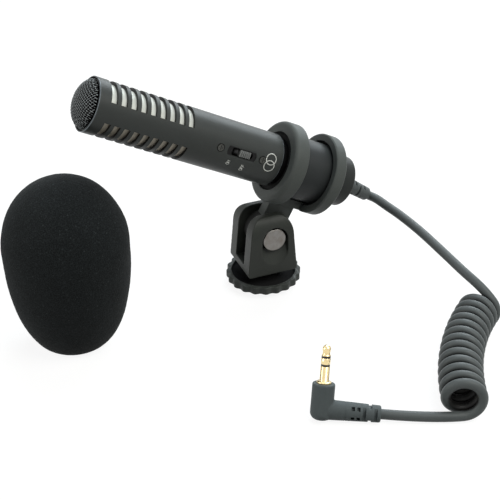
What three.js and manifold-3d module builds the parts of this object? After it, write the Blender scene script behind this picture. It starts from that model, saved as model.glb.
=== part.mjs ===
// Stereo microphone for the accessory shoe of a camera: a slotted barrel held in a two-hoop cradle
// that tilts in a clevis on a shoe foot, a curly cord with an angled 3.5 mm plug, and a foam windscreen.
// Millimetres, +Z up. The origin is the middle of the underside of the shoe foot.
// The microphone's front points towards -Y, and the tilt axis runs along X.
import * as THREE from 'three';
import { mergeVertices, toCreasedNormals } from 'three/addons/utils/BufferGeometryUtils.js';
import Module from 'manifold-3d';

const wasm = await Module();
wasm.setup();

// Clearances and cuts
const gap = 0.3;
const pinGap = 0.2;
const overrun = 2;

// Roundness: facets round a large turned piece, a middling one and a small one
const largeFacets = 28;
const middleFacets = 20;
const smallFacets = 12;
const creaseAngle = 0.6;

// Shoe foot, stud and lock wheel
const footWidth = 18.6;
const footDepth = 18;
const footThickness = 2;
const footCornerRadius = 2;
const footSocketDepth = 1.2;
const studRadius = 5.5;
const studFlatHalf = 4.7;
const studChamfer = 0.5;
const spigotRadius = 4;
const spigotHeight = 3;
const wheelThickness = 3.4;
const wheelTravel = 3;
const wheelRadius = 16.3;
const wheelEdgeBevel = 0.5;
const scallopCount = 20;
const scallopSteps = 4;
const scallopDepth = 0.9;
const dishRadius = 13.9;
const dishDepth = 1.6;
const wheelHubRadius = 7.6;
const plateRadius = 11.5;
const plateThickness = 0.8;
const plateProud = 0.15;

// Clevis
const clevisAboveWheel = 3.4;
const clevisHeight = 27;
const clevisHalfWidth = 10.8;
const clevisSlotHalf = 4.6;
const clevisFloor = 4;
const clevisFootHalfDepth = 11.3;
const clevisWaistHalfDepth = 9.9;
const clevisShoulderHeight = 17;
const clevisTopHalfDepth = 3;
const clevisTopHalfWidth = 7;
const earBevelHeight = 8.5;
const earBevelRound = 1.1;
const earBevelShare = 0.42;

// Pivot bolt, its nut and the friction washers
const pivotBack = 1.2;
const pivotAboveClevis = 16.4;
const boltRadius = 3;
const boltHeadAcross = 10;
const boltHeadHeight = 2.8;
const boltHeadRecess = 1.8;
const boltTipProud = 0.4;
const boltChamfer = 0.6;
const scoopRadius = 5.9;
const scoopDrop = 5.9;
const scoopDepth = 3;
const nutAcross = 10;
const nutHeight = 4;
const nutRecess = 0.8;
const washerRadius = 7;
const washerThickness = 0.6;

// Attitude of the microphone in its mount
const micPitch = 27.4;
const micRoll = 11.5;
const axisHeight = 30.4;

// Microphone body: what surrounds the barrel and what fills it take their size from its radius
const barrelRadius = 11;
const barrelWall = 1.3;
const barrelRear = 14;
const barrelLength = 84.1;
const rimWall = 0.6;
const mouthDepth = 4;
const rearEdgeBevel = 0.4;
const slotCount = 9;
const slotPitch = 4.2;
const slotWidth = 2.6;
const firstSlotInset = 6.3;
const sideStripAngle = 21.5;
const waistStep = 2;
const waistRadius = barrelRadius + waistStep;
const waistRear = -14;
const waistFront = 10.3;
const neckFront = 20;
const neckWall = 1.2;
const bodyBore = barrelRadius - barrelWall - gap - neckWall;
const capStep = 0.15;
const capRadius = barrelRadius - capStep;
const capLength = 9.4;
const capWall = 1.4;
const capFillet = 0.9;
const capFilletShare = 0.3;
const capSpigotLength = 4;

// Cradle: two hoops, the spine that joins them, and the stem that carries the eye
const isolatorRoom = 2.2;
const hoopBore = waistRadius + isolatorRoom;
const hoopWall = 2.1;
const hoopRadius = hoopBore + hoopWall;
const hoopFillet = 1;
const hoopRearBevel = 0.5;
const frontHoopFace = 12.2;
const frontHoopLength = 6.7;
const frontLipGap = 1.5;
const frontLipBore = barrelRadius + frontLipGap;
const rearHoopFace = -8.5;
const rearHoopLength = 5.3;
const rearLipWidth = 0.9;
const rearLipBore = hoopBore - rearLipWidth;
const lipThickness = 1.6;
const spineHalfWidth = 3.2;
const spineSlit = 0.6;
const stemHalfWidth = 2.5;
const stemFront = 6;
const stemRear = -6.4;
const eyeRadius = 8.5;

// Grille and what sits behind it
const grilleRadius = barrelRadius - rimWall - gap;
const grilleThickness = 0.5;
const grilleRise = 6;
const grilleRecess = 0.8;
const grilleSkirt = 1.4;
const meshPitch = 2.2;
const meshHole = 1.5;
const grilleRingWidth = 1.2;
const grilleRingLength = 1;
const sleeveWall = 0.6;
const sleeveRear = 54;
const capsuleRadiusShare = 0.273;
const capsuleRadius = barrelRadius * capsuleRadiusShare;
const capsuleLength = capsuleRadius;
const capsuleOffsetShare = 0.327;
const capsuleOffset = barrelRadius * capsuleOffsetShare;
const capsuleInset = 11.1;
const capsuleStation = barrelRear + barrelLength - capsuleInset;
const capsuleSplay = 45;
const holderLength = 9;

// Circuit board and power switch
const boardThickness = 1.2;
const boardInset = 5.1;
const boardOffset = barrelRadius - barrelWall - boardInset;
const boardLength = 30;
const switchStation = 33.5;
const switchSlotLength = 10.3;
const switchSlotWidth = 3.3;
const switchBodyLength = 12;
const switchBodyHalfWidth = 2.4;
const switchBodyHeight = 1.9;
const bracketLength = 24.4;
const bracketThickness = 0.6;
const sliderLength = 5.2;
const sliderWidth = 2.7;
const sliderBack = 1.5;
const sliderProud = 0.25;
const sliderRibs = 6;
const sliderRibDepth = 0.45;
const sliderRibShare = 0.45;
const flangeLength = 8.4;
const flangeHalfWidth = 2.4;
const flangeThickness = 0.7;
const screwSpacing = 20;
const screwHeadRadius = 1.4;
const screwHeadHeight = 0.8;
const screwShankRadius = 0.7;
const screwLength = 4.6;
const screwCrossWidth = 0.4;
const screwCrossDepth = 0.4;
const screwCrossShare = 0.7;

// Button cell behind the neck
const cellHolderWall = 1.8;
const cellRadius = bodyBore - gap - cellHolderWall - gap;
const cellThickness = 5.4;
const cellStation = -3;
const cellEdge = 0.5;
const cellHolderLength = 7;
const springInset = 1.3;
const springRadius = cellRadius - springInset;
const springThickness = 0.4;

// Cord gland, with slots that let it bend
const glandLength = 15.8;
const glandRootRadius = 3.35;
const glandTipRadius = 2.95;
const glandTipRound = 0.7;
const glandFlangeGap = 0.9;
const glandFlangeRadius = bodyBore - gap - capWall - glandFlangeGap;
const glandFlangeThickness = 1.4;
const glandSlotWidth = 0.9;
const glandSlotDepth = 1.1;
const glandSlotPitch = 2.6;
const glandSlotCount = 3;
const glandFirstSlot = 6.4;
const glandDroop = 8;

// Cord: a free lead, a curly stretch on the table, and a short tail to the plug
const cordRadius = 1.95;
const cordSides = 10;
const coilSides = 5;
const stepsPerTurn = 8;
const coilTurns = 13.383;
const coilMeanRadius = 6.75;
const coilStartAngle = 48;
const coilFloorGap = 0.05;
// Ends of the curly stretch's middle line on the table, and how far the line bows between them
const coilLeadEnd = [66.3, 69.5];
const coilTailEnd = [115.9, 32.4];
const coilBow = 4.4;
const leadSteps = 26;
const tailSteps = 12;
// Points that the lead passes on its way from the gland down to the curly stretch
const leadLine = [
  [3.3, 52.3, 31.3],
  [8.5, 54.8, 29.9],
  [15.8, 57.5, 28.6],
  [28, 60.6, 26.7],
  [40, 63, 24.5],
  [53.7, 65.7, 21.7],
  [62, 67.9, 19.7],
];
// Points that the tail passes on its way to the plug
const tailLine = [
  [112.9, 24, 1.98],
  [109.8, 16.2, 2.05],
  [106.9, 9, 2.5],
];

// Angled plug
const plugPlace = [94.3, -15.6];
const plugYaw = 63.5;
const plugSlope = 3;
const plugRoll = -23;
const plugBodyRadius = 4.3;
const plugBodyHeight = 9.7;
const plugFloorGap = 0.02;
const plugEdge = 0.4;
const armRootRadius = 3.7;
const armTipRadius = 3.15;
const armLength = 21.9;
const armTipRound = 0.6;
const armSlotCount = 5;
const armSlotPitch = 1.9;
const armSlotWidth = 0.85;
const armSlotDepth = 1;
const armFirstSlot = 12.4;
const pinRadius = 1.75;
const pinCoreRadius = 1.15;
const pinFlangeRadius = 2.75;
const pinFlangeThickness = 0.7;
const pinSleeveLength = 5.5;
const pinInsulator = 0.35;
const pinRingLength = 2.4;
const pinTipLength = 4.2;
const pinTipNeckRadius = 1.2;
const pinTipNoseRadius = 0.5;
// How far up the tip its shoulder, neck, bulb and nose are
const pinTipShares = { shoulder: 0.12, neck: 0.3, bulb: 0.66, nose: 0.9 };
const pinRecess = 0.12;

// Foam windscreen, standing beside the microphone on its open end
const windscreenPlace = [9.8, -87.6];
const windscreenRadius = 25;
const windscreenHeight = 73.3;
const windscreenWidest = 44.5;
const windscreenNeck = 11.9;
const windscreenBore = 10.3;
const windscreenBoreDepth = 56;
const windscreenSwellPower = 2.3;
const windscreenRoundPower = 0.62;
const windscreenRows = 7;
const windscreenFacets = 28;

// Heights of the mount, from the foot up: the wheel is shown screwed down on the foot
const plateUnderside = footThickness + gap;
const wheelUnderside = plateUnderside + plateProud;
const wheelTop = wheelUnderside + wheelThickness;
const clevisUnderside = wheelTop + clevisAboveWheel;
const pivotHeight = clevisUnderside + pivotAboveClevis;

// Small helpers for angles, meshes and solids
const degrees = THREE.MathUtils.degToRad;
const model = new THREE.Group();

function signedVolume(position, index) {
  const a = new THREE.Vector3();
  const b = new THREE.Vector3();
  const c = new THREE.Vector3();
  let volume = 0;
  for (let i = 0; i < index.length; i += 3) {
    a.fromBufferAttribute(position, index[i]);
    b.fromBufferAttribute(position, index[i + 1]);
    c.fromBufferAttribute(position, index[i + 2]);
    volume += a.dot(b.cross(c)) / 6;
  }
  return volume;
}

// One closed mesh with shared vertices, no empty triangles and its faces pointing out
function weld(geometry) {
  geometry.deleteAttribute('normal');
  geometry.deleteAttribute('uv');
  const merged = mergeVertices(geometry, 1e-5);
  const source = merged.index.array;
  const kept = [];
  for (let i = 0; i < source.length; i += 3) {
    const corners = [source[i], source[i + 1], source[i + 2]];
    if (new Set(corners).size === 3) kept.push(...corners);
  }
  if (signedVolume(merged.attributes.position, kept) < 0) kept.reverse();
  merged.setIndex(kept);
  return merged;
}

function toSolid(geometry) {
  const welded = weld(geometry);
  return new wasm.Manifold(new wasm.Mesh({
    numProp: 3,
    vertProperties: new Float32Array(welded.attributes.position.array),
    triVerts: new Uint32Array(welded.index.array),
  }));
}

function toGeometry(solid) {
  const mesh = solid.getMesh();
  const geometry = new THREE.BufferGeometry();
  geometry.setAttribute('position', new THREE.BufferAttribute(new Float32Array(mesh.vertProperties), 3));
  geometry.setIndex(Array.from(mesh.triVerts));
  return geometry;
}

function cut(base, cutters) {
  return toGeometry(cutters.reduce((solid, cutter) => solid.subtract(toSolid(cutter)), toSolid(base)));
}

function join(pieces) {
  const [first, ...rest] = pieces;
  return toGeometry(rest.reduce((solid, piece) => solid.add(toSolid(piece)), toSolid(first)));
}

function overlap(first, second) {
  return toGeometry(toSolid(first).intersect(toSolid(second)));
}

function addPart(parent, name, geometry, material) {
  const mesh = new THREE.Mesh(toCreasedNormals(weld(geometry), creaseAngle), material.clone());
  mesh.name = name;
  parent.add(mesh);
  return mesh;
}

// A turned piece: the profile lists radius and height, and the axis is Z
function turned(profile, facets) {
  const points = profile.map(([radius, height]) => new THREE.Vector2(radius, height));
  return new THREE.LatheGeometry(points, facets).rotateX(Math.PI / 2);
}

// A turned ring, whose profile closes on itself
function turnedRing(profile, facets) {
  return turned([...profile, profile[0]], facets);
}

// A piece turned about the microphone's axis: the profile lists radius and station ahead of the pivot
function barrelTurned(profile, facets = largeFacets) {
  return turned(profile, facets).rotateX(Math.PI / 2);
}

function barrelRing(profile, facets = largeFacets) {
  return barrelTurned([...profile, profile[0]], facets);
}

function rod(radius, length, facets) {
  return new THREE.CylinderGeometry(radius, radius, length, facets);
}

// A rod along X between two places
function rodAlongX(radius, from, to, facets) {
  return rod(radius, to - from, facets).rotateZ(Math.PI / 2).translate((from + to) / 2, 0, 0);
}

// A rod along Z between two heights
function rodAlongZ(radius, from, to, facets) {
  return rod(radius, to - from, facets).rotateX(Math.PI / 2).translate(0, 0, (from + to) / 2);
}

// A box between two corners
function block([x0, y0, z0], [x1, y1, z1]) {
  const box = new THREE.BoxGeometry(x1 - x0, y1 - y0, z1 - z0);
  return box.translate((x0 + x1) / 2, (y0 + y1) / 2, (z0 + z1) / 2);
}

// A hexagonal prism along X with two corners on the Y axis
function hexAlongX(across, from, to) {
  const cornerRadius = across / Math.sqrt(3);
  const prism = new THREE.CylinderGeometry(cornerRadius, cornerRadius, to - from, 6);
  return prism.rotateY(Math.PI / 6).rotateZ(Math.PI / 2).translate((from + to) / 2, 0, 0);
}

function roundedRectangle(width, depth, radius) {
  const x = width / 2;
  const y = depth / 2;
  const shape = new THREE.Shape();
  shape.moveTo(radius - x, -y);
  shape.absarc(x - radius, radius - y, radius, -Math.PI / 2, 0);
  shape.absarc(x - radius, y - radius, radius, 0, Math.PI / 2);
  shape.absarc(radius - x, y - radius, radius, Math.PI / 2, Math.PI);
  shape.absarc(radius - x, radius - y, radius, Math.PI, 1.5 * Math.PI);
  return shape;
}

function extruded(shape, depth, curveSegments = 6) {
  return new THREE.ExtrudeGeometry(shape, { depth, bevelEnabled: false, curveSegments });
}

// A slotted sleeve that bends: cross cuts in pairs that turn a right angle from one to the next
function crossSlots(count, first, pitch, width, depth, radius) {
  const cutters = [];
  for (let i = 0; i < count; i += 1) {
    const from = first + i * pitch;
    const to = from + width;
    const outer = radius + overrun;
    const inner = radius - depth;
    for (const side of [-1, 1]) {
      const near = side < 0 ? -outer : inner;
      const far = side < 0 ? -inner : outer;
      const flat = i % 2 === 0
        ? block([-outer, near, from], [outer, far, to])
        : block([near, -outer, from], [far, outer, to]);
      cutters.push(flat);
    }
  }
  return cutters;
}

// Finishes
function finish(color, roughness, metalness) {
  return new THREE.MeshStandardMaterial({ color, roughness, metalness });
}
const barrelPaint = finish(0x4a4d4d, 0.5, 0.3);
const cradlePlastic = finish(0x505352, 0.65, 0);
const clevisPlastic = finish(0x2e3130, 0.6, 0);
const isolatorRubber = finish(0x161717, 0.85, 0);
const cordJacket = finish(0x4c5050, 0.6, 0);
const plugMoulding = finish(0x4a5052, 0.6, 0);
const foam = finish(0x1d1f21, 1, 0);
const boltSteel = finish(0x9a9184, 0.4, 0.9);
const screwSteel = finish(0x8c8c88, 0.4, 0.9);
const sleeveMetal = finish(0xb4b8b2, 0.35, 0.8);
const meshWire = finish(0x3a3c3e, 0.45, 0.7);
const pinGold = finish(0xd9b868, 0.25, 1);
const pinPlastic = finish(0x1b1b1b, 0.5, 0);
const boardGreen = finish(0x2f5a3a, 0.5, 0);
const switchNylon = finish(0x1a1a1c, 0.5, 0);
const capsuleMetal = finish(0xa8a8a4, 0.4, 0.8);
const holderRubber = finish(0x202020, 0.8, 0);
const cellSteel = finish(0xb8b8b6, 0.3, 0.9);
const washerNylon = finish(0xd8d4c8, 0.5, 0);

// Shoe foot: the plate that slides into the camera's shoe, with a socket for the stud
function shoeFoot() {
  const plate = extruded(roundedRectangle(footWidth, footDepth, footCornerRadius), footThickness);
  const socketFloor = footThickness - footSocketDepth;
  const socket = rodAlongZ(spigotRadius + gap, socketFloor, footThickness + overrun, middleFacets);
  return cut(plate, [socket]);
}

// Stud: a spigot in the foot, a body with two flats for the plate, and a spigot up into the clevis
function shoeStud() {
  const bottom = footThickness - footSocketDepth;
  const body = turned([
    [0, bottom],
    [spigotRadius, bottom],
    [spigotRadius, footThickness],
    [studRadius - studChamfer, footThickness],
    [studRadius, footThickness + studChamfer],
    [studRadius, clevisUnderside - studChamfer],
    [studRadius - studChamfer, clevisUnderside],
    [spigotRadius, clevisUnderside],
    [spigotRadius, clevisUnderside + spigotHeight - studChamfer],
    [spigotRadius - studChamfer, clevisUnderside + spigotHeight],
    [0, clevisUnderside + spigotHeight],
  ], middleFacets);
  const wide = studRadius + overrun;
  const flatsTop = plateUnderside + plateThickness + wheelTravel + gap;
  const flats = [-1, 1].map((side) => {
    const near = side < 0 ? -wide : studFlatHalf;
    const far = side < 0 ? -studFlatHalf : wide;
    return block([-wide, near, footThickness], [wide, far, flatsTop]);
  });
  return cut(body, flats);
}

// Lock wheel: a scalloped, dished wheel that runs on the stud and clamps the shoe
function lockWheel() {
  const outline = new THREE.Shape();
  const steps = scallopCount * scallopSteps;
  for (let i = 0; i < steps; i += 1) {
    const angle = 2 * Math.PI * i / steps;
    const radius = wheelRadius - scallopDepth * (1 - Math.cos(scallopCount * angle)) / 2;
    const x = radius * Math.cos(angle);
    const y = radius * Math.sin(angle);
    if (i === 0) outline.moveTo(x, y);
    else outline.lineTo(x, y);
  }
  const top = wheelTop;
  const rim = extruded(outline, wheelThickness).translate(0, 0, wheelUnderside);
  const edge = turned([
    [0, wheelUnderside],
    [wheelRadius - wheelEdgeBevel, wheelUnderside],
    [wheelRadius, wheelUnderside + wheelEdgeBevel],
    [wheelRadius, top - wheelEdgeBevel],
    [wheelRadius - wheelEdgeBevel, top],
    [0, top],
  ], largeFacets);
  const dishFloor = top - dishDepth;
  const dish = turnedRing([
    [wheelHubRadius, dishFloor],
    [dishRadius - wheelEdgeBevel, dishFloor],
    [dishRadius, dishFloor + wheelEdgeBevel],
    [dishRadius, top + overrun],
    [wheelHubRadius, top + overrun],
  ], largeFacets);
  const recessTop = plateUnderside + plateThickness + gap;
  const recess = rodAlongZ(plateRadius + gap, wheelUnderside - overrun, recessTop, middleFacets);
  const bore = rodAlongZ(studRadius + gap, wheelUnderside - overrun, top + overrun, middleFacets);
  return cut(overlap(rim, edge), [dish, recess, bore]);
}

// Pressure plate: keyed to the stud's flats, so that it presses on the shoe without turning
function pressurePlate() {
  const bottom = plateUnderside;
  const top = bottom + plateThickness;
  const plate = rodAlongZ(plateRadius, bottom, top, middleFacets);
  const round = rodAlongZ(studRadius + gap, bottom - overrun, top + overrun, middleFacets);
  const wide = studRadius + overrun;
  const flatHalf = studFlatHalf + gap;
  const keyway = block([-wide, -flatHalf, bottom - overrun], [wide, flatHalf, top + overrun]);
  return cut(plate, [overlap(round, keyway)]);
}

// Clevis: the side outline and the front outline are crossed, then slotted and bored
function clevis() {
  const top = clevisUnderside + clevisHeight;
  const shoulder = clevisUnderside + clevisShoulderHeight;
  const side = new THREE.Shape();
  side.moveTo(-clevisFootHalfDepth, clevisUnderside);
  side.lineTo(clevisFootHalfDepth, clevisUnderside);
  side.lineTo(clevisWaistHalfDepth, shoulder);
  side.quadraticCurveTo(clevisWaistHalfDepth - gap, top, clevisTopHalfDepth, top);
  side.lineTo(-clevisTopHalfDepth, top);
  side.quadraticCurveTo(gap - clevisWaistHalfDepth, top, -clevisWaistHalfDepth, shoulder);
  const wide = 2 * (clevisHalfWidth + overrun);
  // The side outline is drawn in Y and Z and runs along X
  const sideBody = extruded(side, wide, 7).rotateX(Math.PI / 2).rotateZ(Math.PI / 2).translate(-wide / 2, 0, 0);
  const bevelFoot = top - earBevelHeight;
  const bevelMiddle = [clevisHalfWidth - earBevelRound, top - earBevelHeight * earBevelShare];
  const front = new THREE.Shape();
  front.moveTo(-clevisHalfWidth, clevisUnderside);
  front.lineTo(clevisHalfWidth, clevisUnderside);
  front.lineTo(clevisHalfWidth, bevelFoot);
  front.quadraticCurveTo(bevelMiddle[0], bevelMiddle[1], clevisTopHalfWidth, top);
  front.lineTo(-clevisTopHalfWidth, top);
  front.quadraticCurveTo(-bevelMiddle[0], bevelMiddle[1], -clevisHalfWidth, bevelFoot);
  const deep = 2 * (clevisFootHalfDepth + overrun);
  const frontBody = extruded(front, deep, 5).rotateX(Math.PI / 2).translate(0, deep / 2, 0);
  const floorTop = clevisUnderside + clevisFloor;
  const slot = block([-clevisSlotHalf, -deep, floorTop], [clevisSlotHalf, deep, top + overrun]);
  const socketTop = clevisUnderside + spigotHeight + gap;
  const socket = rodAlongZ(spigotRadius + gap, clevisUnderside - overrun, socketTop, middleFacets);
  return cut(overlap(sideBody, frontBody), [slot, socket, ...pivotCuts()]);
}

// What the clevis loses round its pivot: the bolt's hole, the pockets of head and nut, and the scoop
function pivotCuts() {
  const headOuter = clevisHalfWidth - boltHeadRecess;
  const headSeat = headOuter - boltHeadHeight;
  const nutOuter = clevisHalfWidth - nutRecess;
  const outside = clevisHalfWidth + overrun;
  const scoopFloor = clevisHalfWidth - scoopDepth;
  const slope = scoopDrop / scoopDepth;
  const straight = rodAlongX(scoopRadius, scoopFloor, outside, middleFacets);
  // The scoop leans below the bolt: its mouth lies lower than its floor
  const lean = new THREE.Matrix4().set(
    1, 0, 0, 0,
    0, 1, 0, 0,
    -slope, 0, 1, slope * scoopFloor,
    0, 0, 0, 1,
  );
  const leaning = straight.clone().applyMatrix4(lean);
  const lowest = -2 * scoopRadius - scoopDrop;
  const below = block([scoopFloor, -scoopRadius - overrun, lowest], [outside, scoopRadius + overrun, 0]);
  const cutters = [
    rodAlongX(boltRadius + gap, -outside, outside, smallFacets),
    hexAlongX(boltHeadAcross + 2 * gap, headSeat, outside),
    hexAlongX(nutAcross + 2 * gap, -outside, nutHeight - nutOuter),
    overlap(join([straight, leaning]), below),
  ];
  return cutters.map((cutter) => cutter.translate(0, pivotBack, pivotHeight));
}

// A hexagon whose outer corners are turned down, as on a real head or nut
function chamferedHex(across, from, to, outerEnd) {
  const cornerRadius = across / Math.sqrt(3);
  const inner = outerEnd > 0 ? from : -to;
  const outer = outerEnd > 0 ? to : -from;
  const cone = turned([
    [0, inner],
    [cornerRadius, inner],
    [cornerRadius, outer - boltChamfer],
    [across / 2 - gap, outer],
    [0, outer],
  ], middleFacets).rotateY(outerEnd * Math.PI / 2);
  return overlap(hexAlongX(across, from, to), cone);
}

// Pivot bolt: a low hexagon head on the near side and a shank through eye, washers and nut
function pivotBolt() {
  const headOuter = clevisHalfWidth - boltHeadRecess;
  const headSeat = headOuter - boltHeadHeight;
  const tip = clevisHalfWidth - nutRecess + boltTipProud;
  const head = chamferedHex(boltHeadAcross, headSeat, headOuter, 1);
  const shank = rodAlongX(boltRadius, -tip, headSeat + boltHeadHeight / 2, smallFacets);
  return join([head, shank]).translate(0, pivotBack, pivotHeight);
}

function pivotNut() {
  const outer = clevisHalfWidth - nutRecess;
  const nut = chamferedHex(nutAcross, -outer, nutHeight - outer, -1);
  const thread = rodAlongX(boltRadius + gap, -outer - overrun, nutHeight - outer + overrun, smallFacets);
  return cut(nut, [thread]).translate(0, pivotBack, pivotHeight);
}

function frictionWasher(side) {
  const washer = turnedRing([
    [boltRadius + gap, clevisSlotHalf - washerThickness],
    [washerRadius, clevisSlotHalf - washerThickness],
    [washerRadius, clevisSlotHalf],
    [boltRadius + gap, clevisSlotHalf],
  ], middleFacets);
  return washer.rotateY(side * Math.PI / 2).translate(0, pivotBack, pivotHeight);
}

// Cradle: both hoops, the spine under the microphone, the stem and the eye, moulded in one
function cradleFrame() {
  const frontRear = frontHoopFace - frontHoopLength;
  const rearRear = rearHoopFace - rearHoopLength;
  const filletSteps = 4;
  const fillet = Array.from({ length: filletSteps + 1 }, (unused, i) => {
    const angle = Math.PI / 2 * (1 - i / filletSteps);
    return [
      hoopRadius - hoopFillet + hoopFillet * Math.cos(angle),
      frontHoopFace - hoopFillet + hoopFillet * Math.sin(angle),
    ];
  });
  const frontHoop = barrelRing([
    [frontLipBore, frontHoopFace - lipThickness],
    [frontLipBore, frontHoopFace],
    ...fillet,
    [hoopRadius, frontRear + hoopRearBevel],
    [hoopRadius - hoopRearBevel, frontRear],
    [hoopBore, frontRear],
    [hoopBore, frontHoopFace - lipThickness],
  ]);
  const rearHoop = barrelRing([
    [rearLipBore, rearHoopFace - lipThickness],
    [rearLipBore, rearHoopFace],
    [hoopRadius - hoopRearBevel, rearHoopFace],
    [hoopRadius, rearHoopFace - hoopRearBevel],
    [hoopRadius, rearRear + hoopRearBevel],
    [hoopRadius - hoopRearBevel, rearRear],
    [hoopBore, rearRear],
    [hoopBore, rearHoopFace - lipThickness],
  ]);
  const hoops = [frontHoop, rearHoop].map((hoop) => hoop.translate(0, 0, axisHeight));
  const spineFoot = axisHeight - hoopRadius;
  const spineEnds = { front: frontRear + gap, rear: rearHoopFace - lipThickness / 2 };
  const spine = block(
    [-spineHalfWidth, -spineEnds.front, spineFoot + hoopRearBevel],
    [spineHalfWidth, -spineEnds.rear, axisHeight - waistRadius + overrun],
  );
  const waistRoom = barrelTurned([
    [0, waistRear - overrun],
    [waistRadius + spineSlit, waistRear - overrun],
    [waistRadius + spineSlit, frontHoopFace],
    [0, frontHoopFace],
  ]).translate(0, 0, axisHeight);
  const stem = block([-stemHalfWidth, -stemFront, 0], [stemHalfWidth, -stemRear, spineFoot + overrun]);
  const eyeHalf = clevisSlotHalf - washerThickness - gap;
  const eye = rodAlongX(eyeRadius, -eyeHalf, eyeHalf, middleFacets);
  const boltHole = rodAlongX(boltRadius + gap, -eyeHalf - overrun, eyeHalf + overrun, smallFacets);
  return cut(join([...hoops, cut(spine, [waistRoom]), stem, eye]), [boltHole]);
}

// Rubber ring that floats the body inside a hoop
function isolator(front, rear) {
  return barrelRing([
    [waistRadius + gap, rear],
    [waistRadius + gap, front],
    [hoopBore - gap, front],
    [hoopBore - gap, rear],
  ]).translate(0, 0, axisHeight);
}

// Barrel tube: slots across its top and its underside, and the openings of the switch and its screws
function barrelTube() {
  const bore = barrelRadius - barrelWall;
  const rim = barrelRear + barrelLength;
  const tube = barrelRing([
    [bore, barrelRear],
    [barrelRadius - rearEdgeBevel, barrelRear],
    [barrelRadius, barrelRear + rearEdgeBevel],
    [barrelRadius, rim],
    [barrelRadius - rimWall, rim],
    [barrelRadius - rimWall, rim - mouthDepth],
    [bore, rim - mouthDepth],
  ]);
  const outside = barrelRadius + overrun;
  const stripHalf = barrelRadius * Math.sin(degrees(sideStripAngle));
  const cutters = [];
  for (let i = 0; i < slotCount; i += 1) {
    const middle = rim - firstSlotInset - i * slotPitch;
    const ends = [-middle - slotWidth / 2, -middle + slotWidth / 2];
    cutters.push(block([-outside, ends[0], stripHalf], [outside, ends[1], outside]));
    cutters.push(block([-outside, ends[0], -outside], [outside, ends[1], -stripHalf]));
  }
  const window = extruded(roundedRectangle(switchSlotWidth, switchSlotLength, switchSlotWidth / 2), outside);
  cutters.push(window.rotateY(Math.PI / 2).translate(0, -switchStation, 0));
  for (const station of screwStations()) {
    const seat = barrelRadius - screwHeadHeight;
    const sink = rodAlongX(screwHeadRadius + gap, seat, outside, smallFacets);
    const hole = rodAlongX(screwShankRadius + gap, 0, outside, smallFacets);
    cutters.push(sink.translate(0, -station, 0), hole.translate(0, -station, 0));
  }
  return cut(tube, cutters);
}

function screwStations() {
  return [switchStation + screwSpacing / 2, switchStation - screwSpacing / 2];
}

// Rear body: a neck that screws into the barrel, and the waist that the isolators grip
function rearBody() {
  const neckRadius = barrelRadius - barrelWall - gap;
  return barrelRing([
    [bodyBore, waistRear],
    [bodyBore, neckFront],
    [neckRadius, neckFront],
    [neckRadius, waistFront],
    [waistRadius - rearEdgeBevel, waistFront],
    [waistRadius, waistFront - rearEdgeBevel],
    [waistRadius, waistRear],
  ]);
}

function endCap() {
  const front = waistRear - gap;
  const rear = front - capLength;
  const spigot = bodyBore - gap;
  const inner = spigot - capWall;
  return barrelRing([
    [inner, front + capSpigotLength],
    [spigot, front + capSpigotLength],
    [spigot, front],
    [capRadius, front],
    [capRadius, rear + capFillet],
    [capRadius - capFillet * capFilletShare, rear + capFillet * capFilletShare],
    [capRadius - capFillet, rear],
    [glandRootRadius + gap, rear],
    [glandRootRadius + gap, rear + capWall],
    [inner, rear + capWall],
  ]);
}

// Cord gland: a flange held square in the cap, and a tapered, slotted sleeve that droops behind it
function cordGland() {
  const flangeFoot = -capWall - gap;
  const flange = turned([
    [0, flangeFoot - glandFlangeThickness],
    [glandFlangeRadius, flangeFoot - glandFlangeThickness],
    [glandFlangeRadius, flangeFoot],
    [glandRootRadius, flangeFoot],
    [glandRootRadius, 0],
    [0, 0],
  ], middleFacets).rotateX(degrees(glandDroop));
  const sleeve = turned([
    [0, -glandRootRadius * Math.sin(degrees(glandDroop))],
    [glandRootRadius, -glandRootRadius * Math.sin(degrees(glandDroop))],
    [glandTipRadius, glandLength - glandTipRound],
    [glandTipRadius - glandTipRound, glandLength],
    [0, glandLength],
  ], middleFacets);
  const slots = crossSlots(
    glandSlotCount,
    glandFirstSlot,
    glandSlotPitch,
    glandSlotWidth,
    glandSlotDepth,
    glandTipRadius,
  );
  return join([flange, cut(sleeve, slots)]).rotateX(-Math.PI / 2);
}

// Grille: a domed shell with a skirt, pierced by a square mesh
function frontGrille() {
  const base = barrelRear + barrelLength - grilleRecess;
  const skirtInner = grilleRadius - grilleThickness;
  const domeSteps = 4;
  const dome = (radius, rise) => Array.from({ length: domeSteps + 1 }, (unused, i) => {
    const angle = Math.PI / 2 * i / domeSteps;
    return [radius * Math.sin(angle), base + rise * Math.cos(angle)];
  });
  const profile = [
    ...dome(grilleRadius, grilleRise),
    [grilleRadius, base - grilleSkirt],
    [skirtInner, base - grilleSkirt],
    ...dome(skirtInner, grilleRise - grilleThickness).reverse(),
  ];
  profile[profile.length - 1][0] = 0;
  const holes = [];
  const reach = Math.floor(grilleRadius / meshPitch);
  const limit = skirtInner - meshHole * Math.SQRT1_2;
  for (let i = -reach; i <= reach; i += 1) {
    for (let j = -reach; j <= reach; j += 1) {
      const x = i * meshPitch;
      const z = j * meshPitch;
      if (Math.hypot(x, z) > limit) continue;
      const hole = new THREE.BoxGeometry(meshHole, grilleRise, meshHole);
      holes.push(hole.translate(x, -base - grilleRise / 2 - gap, z));
    }
  }
  return cut(barrelTurned(profile, middleFacets), holes).rotateY(Math.PI / 4);
}

// Ring that holds the grille's skirt in the mouth of the barrel
function grilleRing() {
  const front = barrelRear + barrelLength - grilleRecess - grilleSkirt - gap;
  const outer = barrelRadius - rimWall - gap;
  return barrelRing([
    [outer - grilleRingWidth, front - grilleRingLength],
    [outer - grilleRingWidth, front],
    [outer, front],
    [outer, front - grilleRingLength],
  ]);
}

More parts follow.
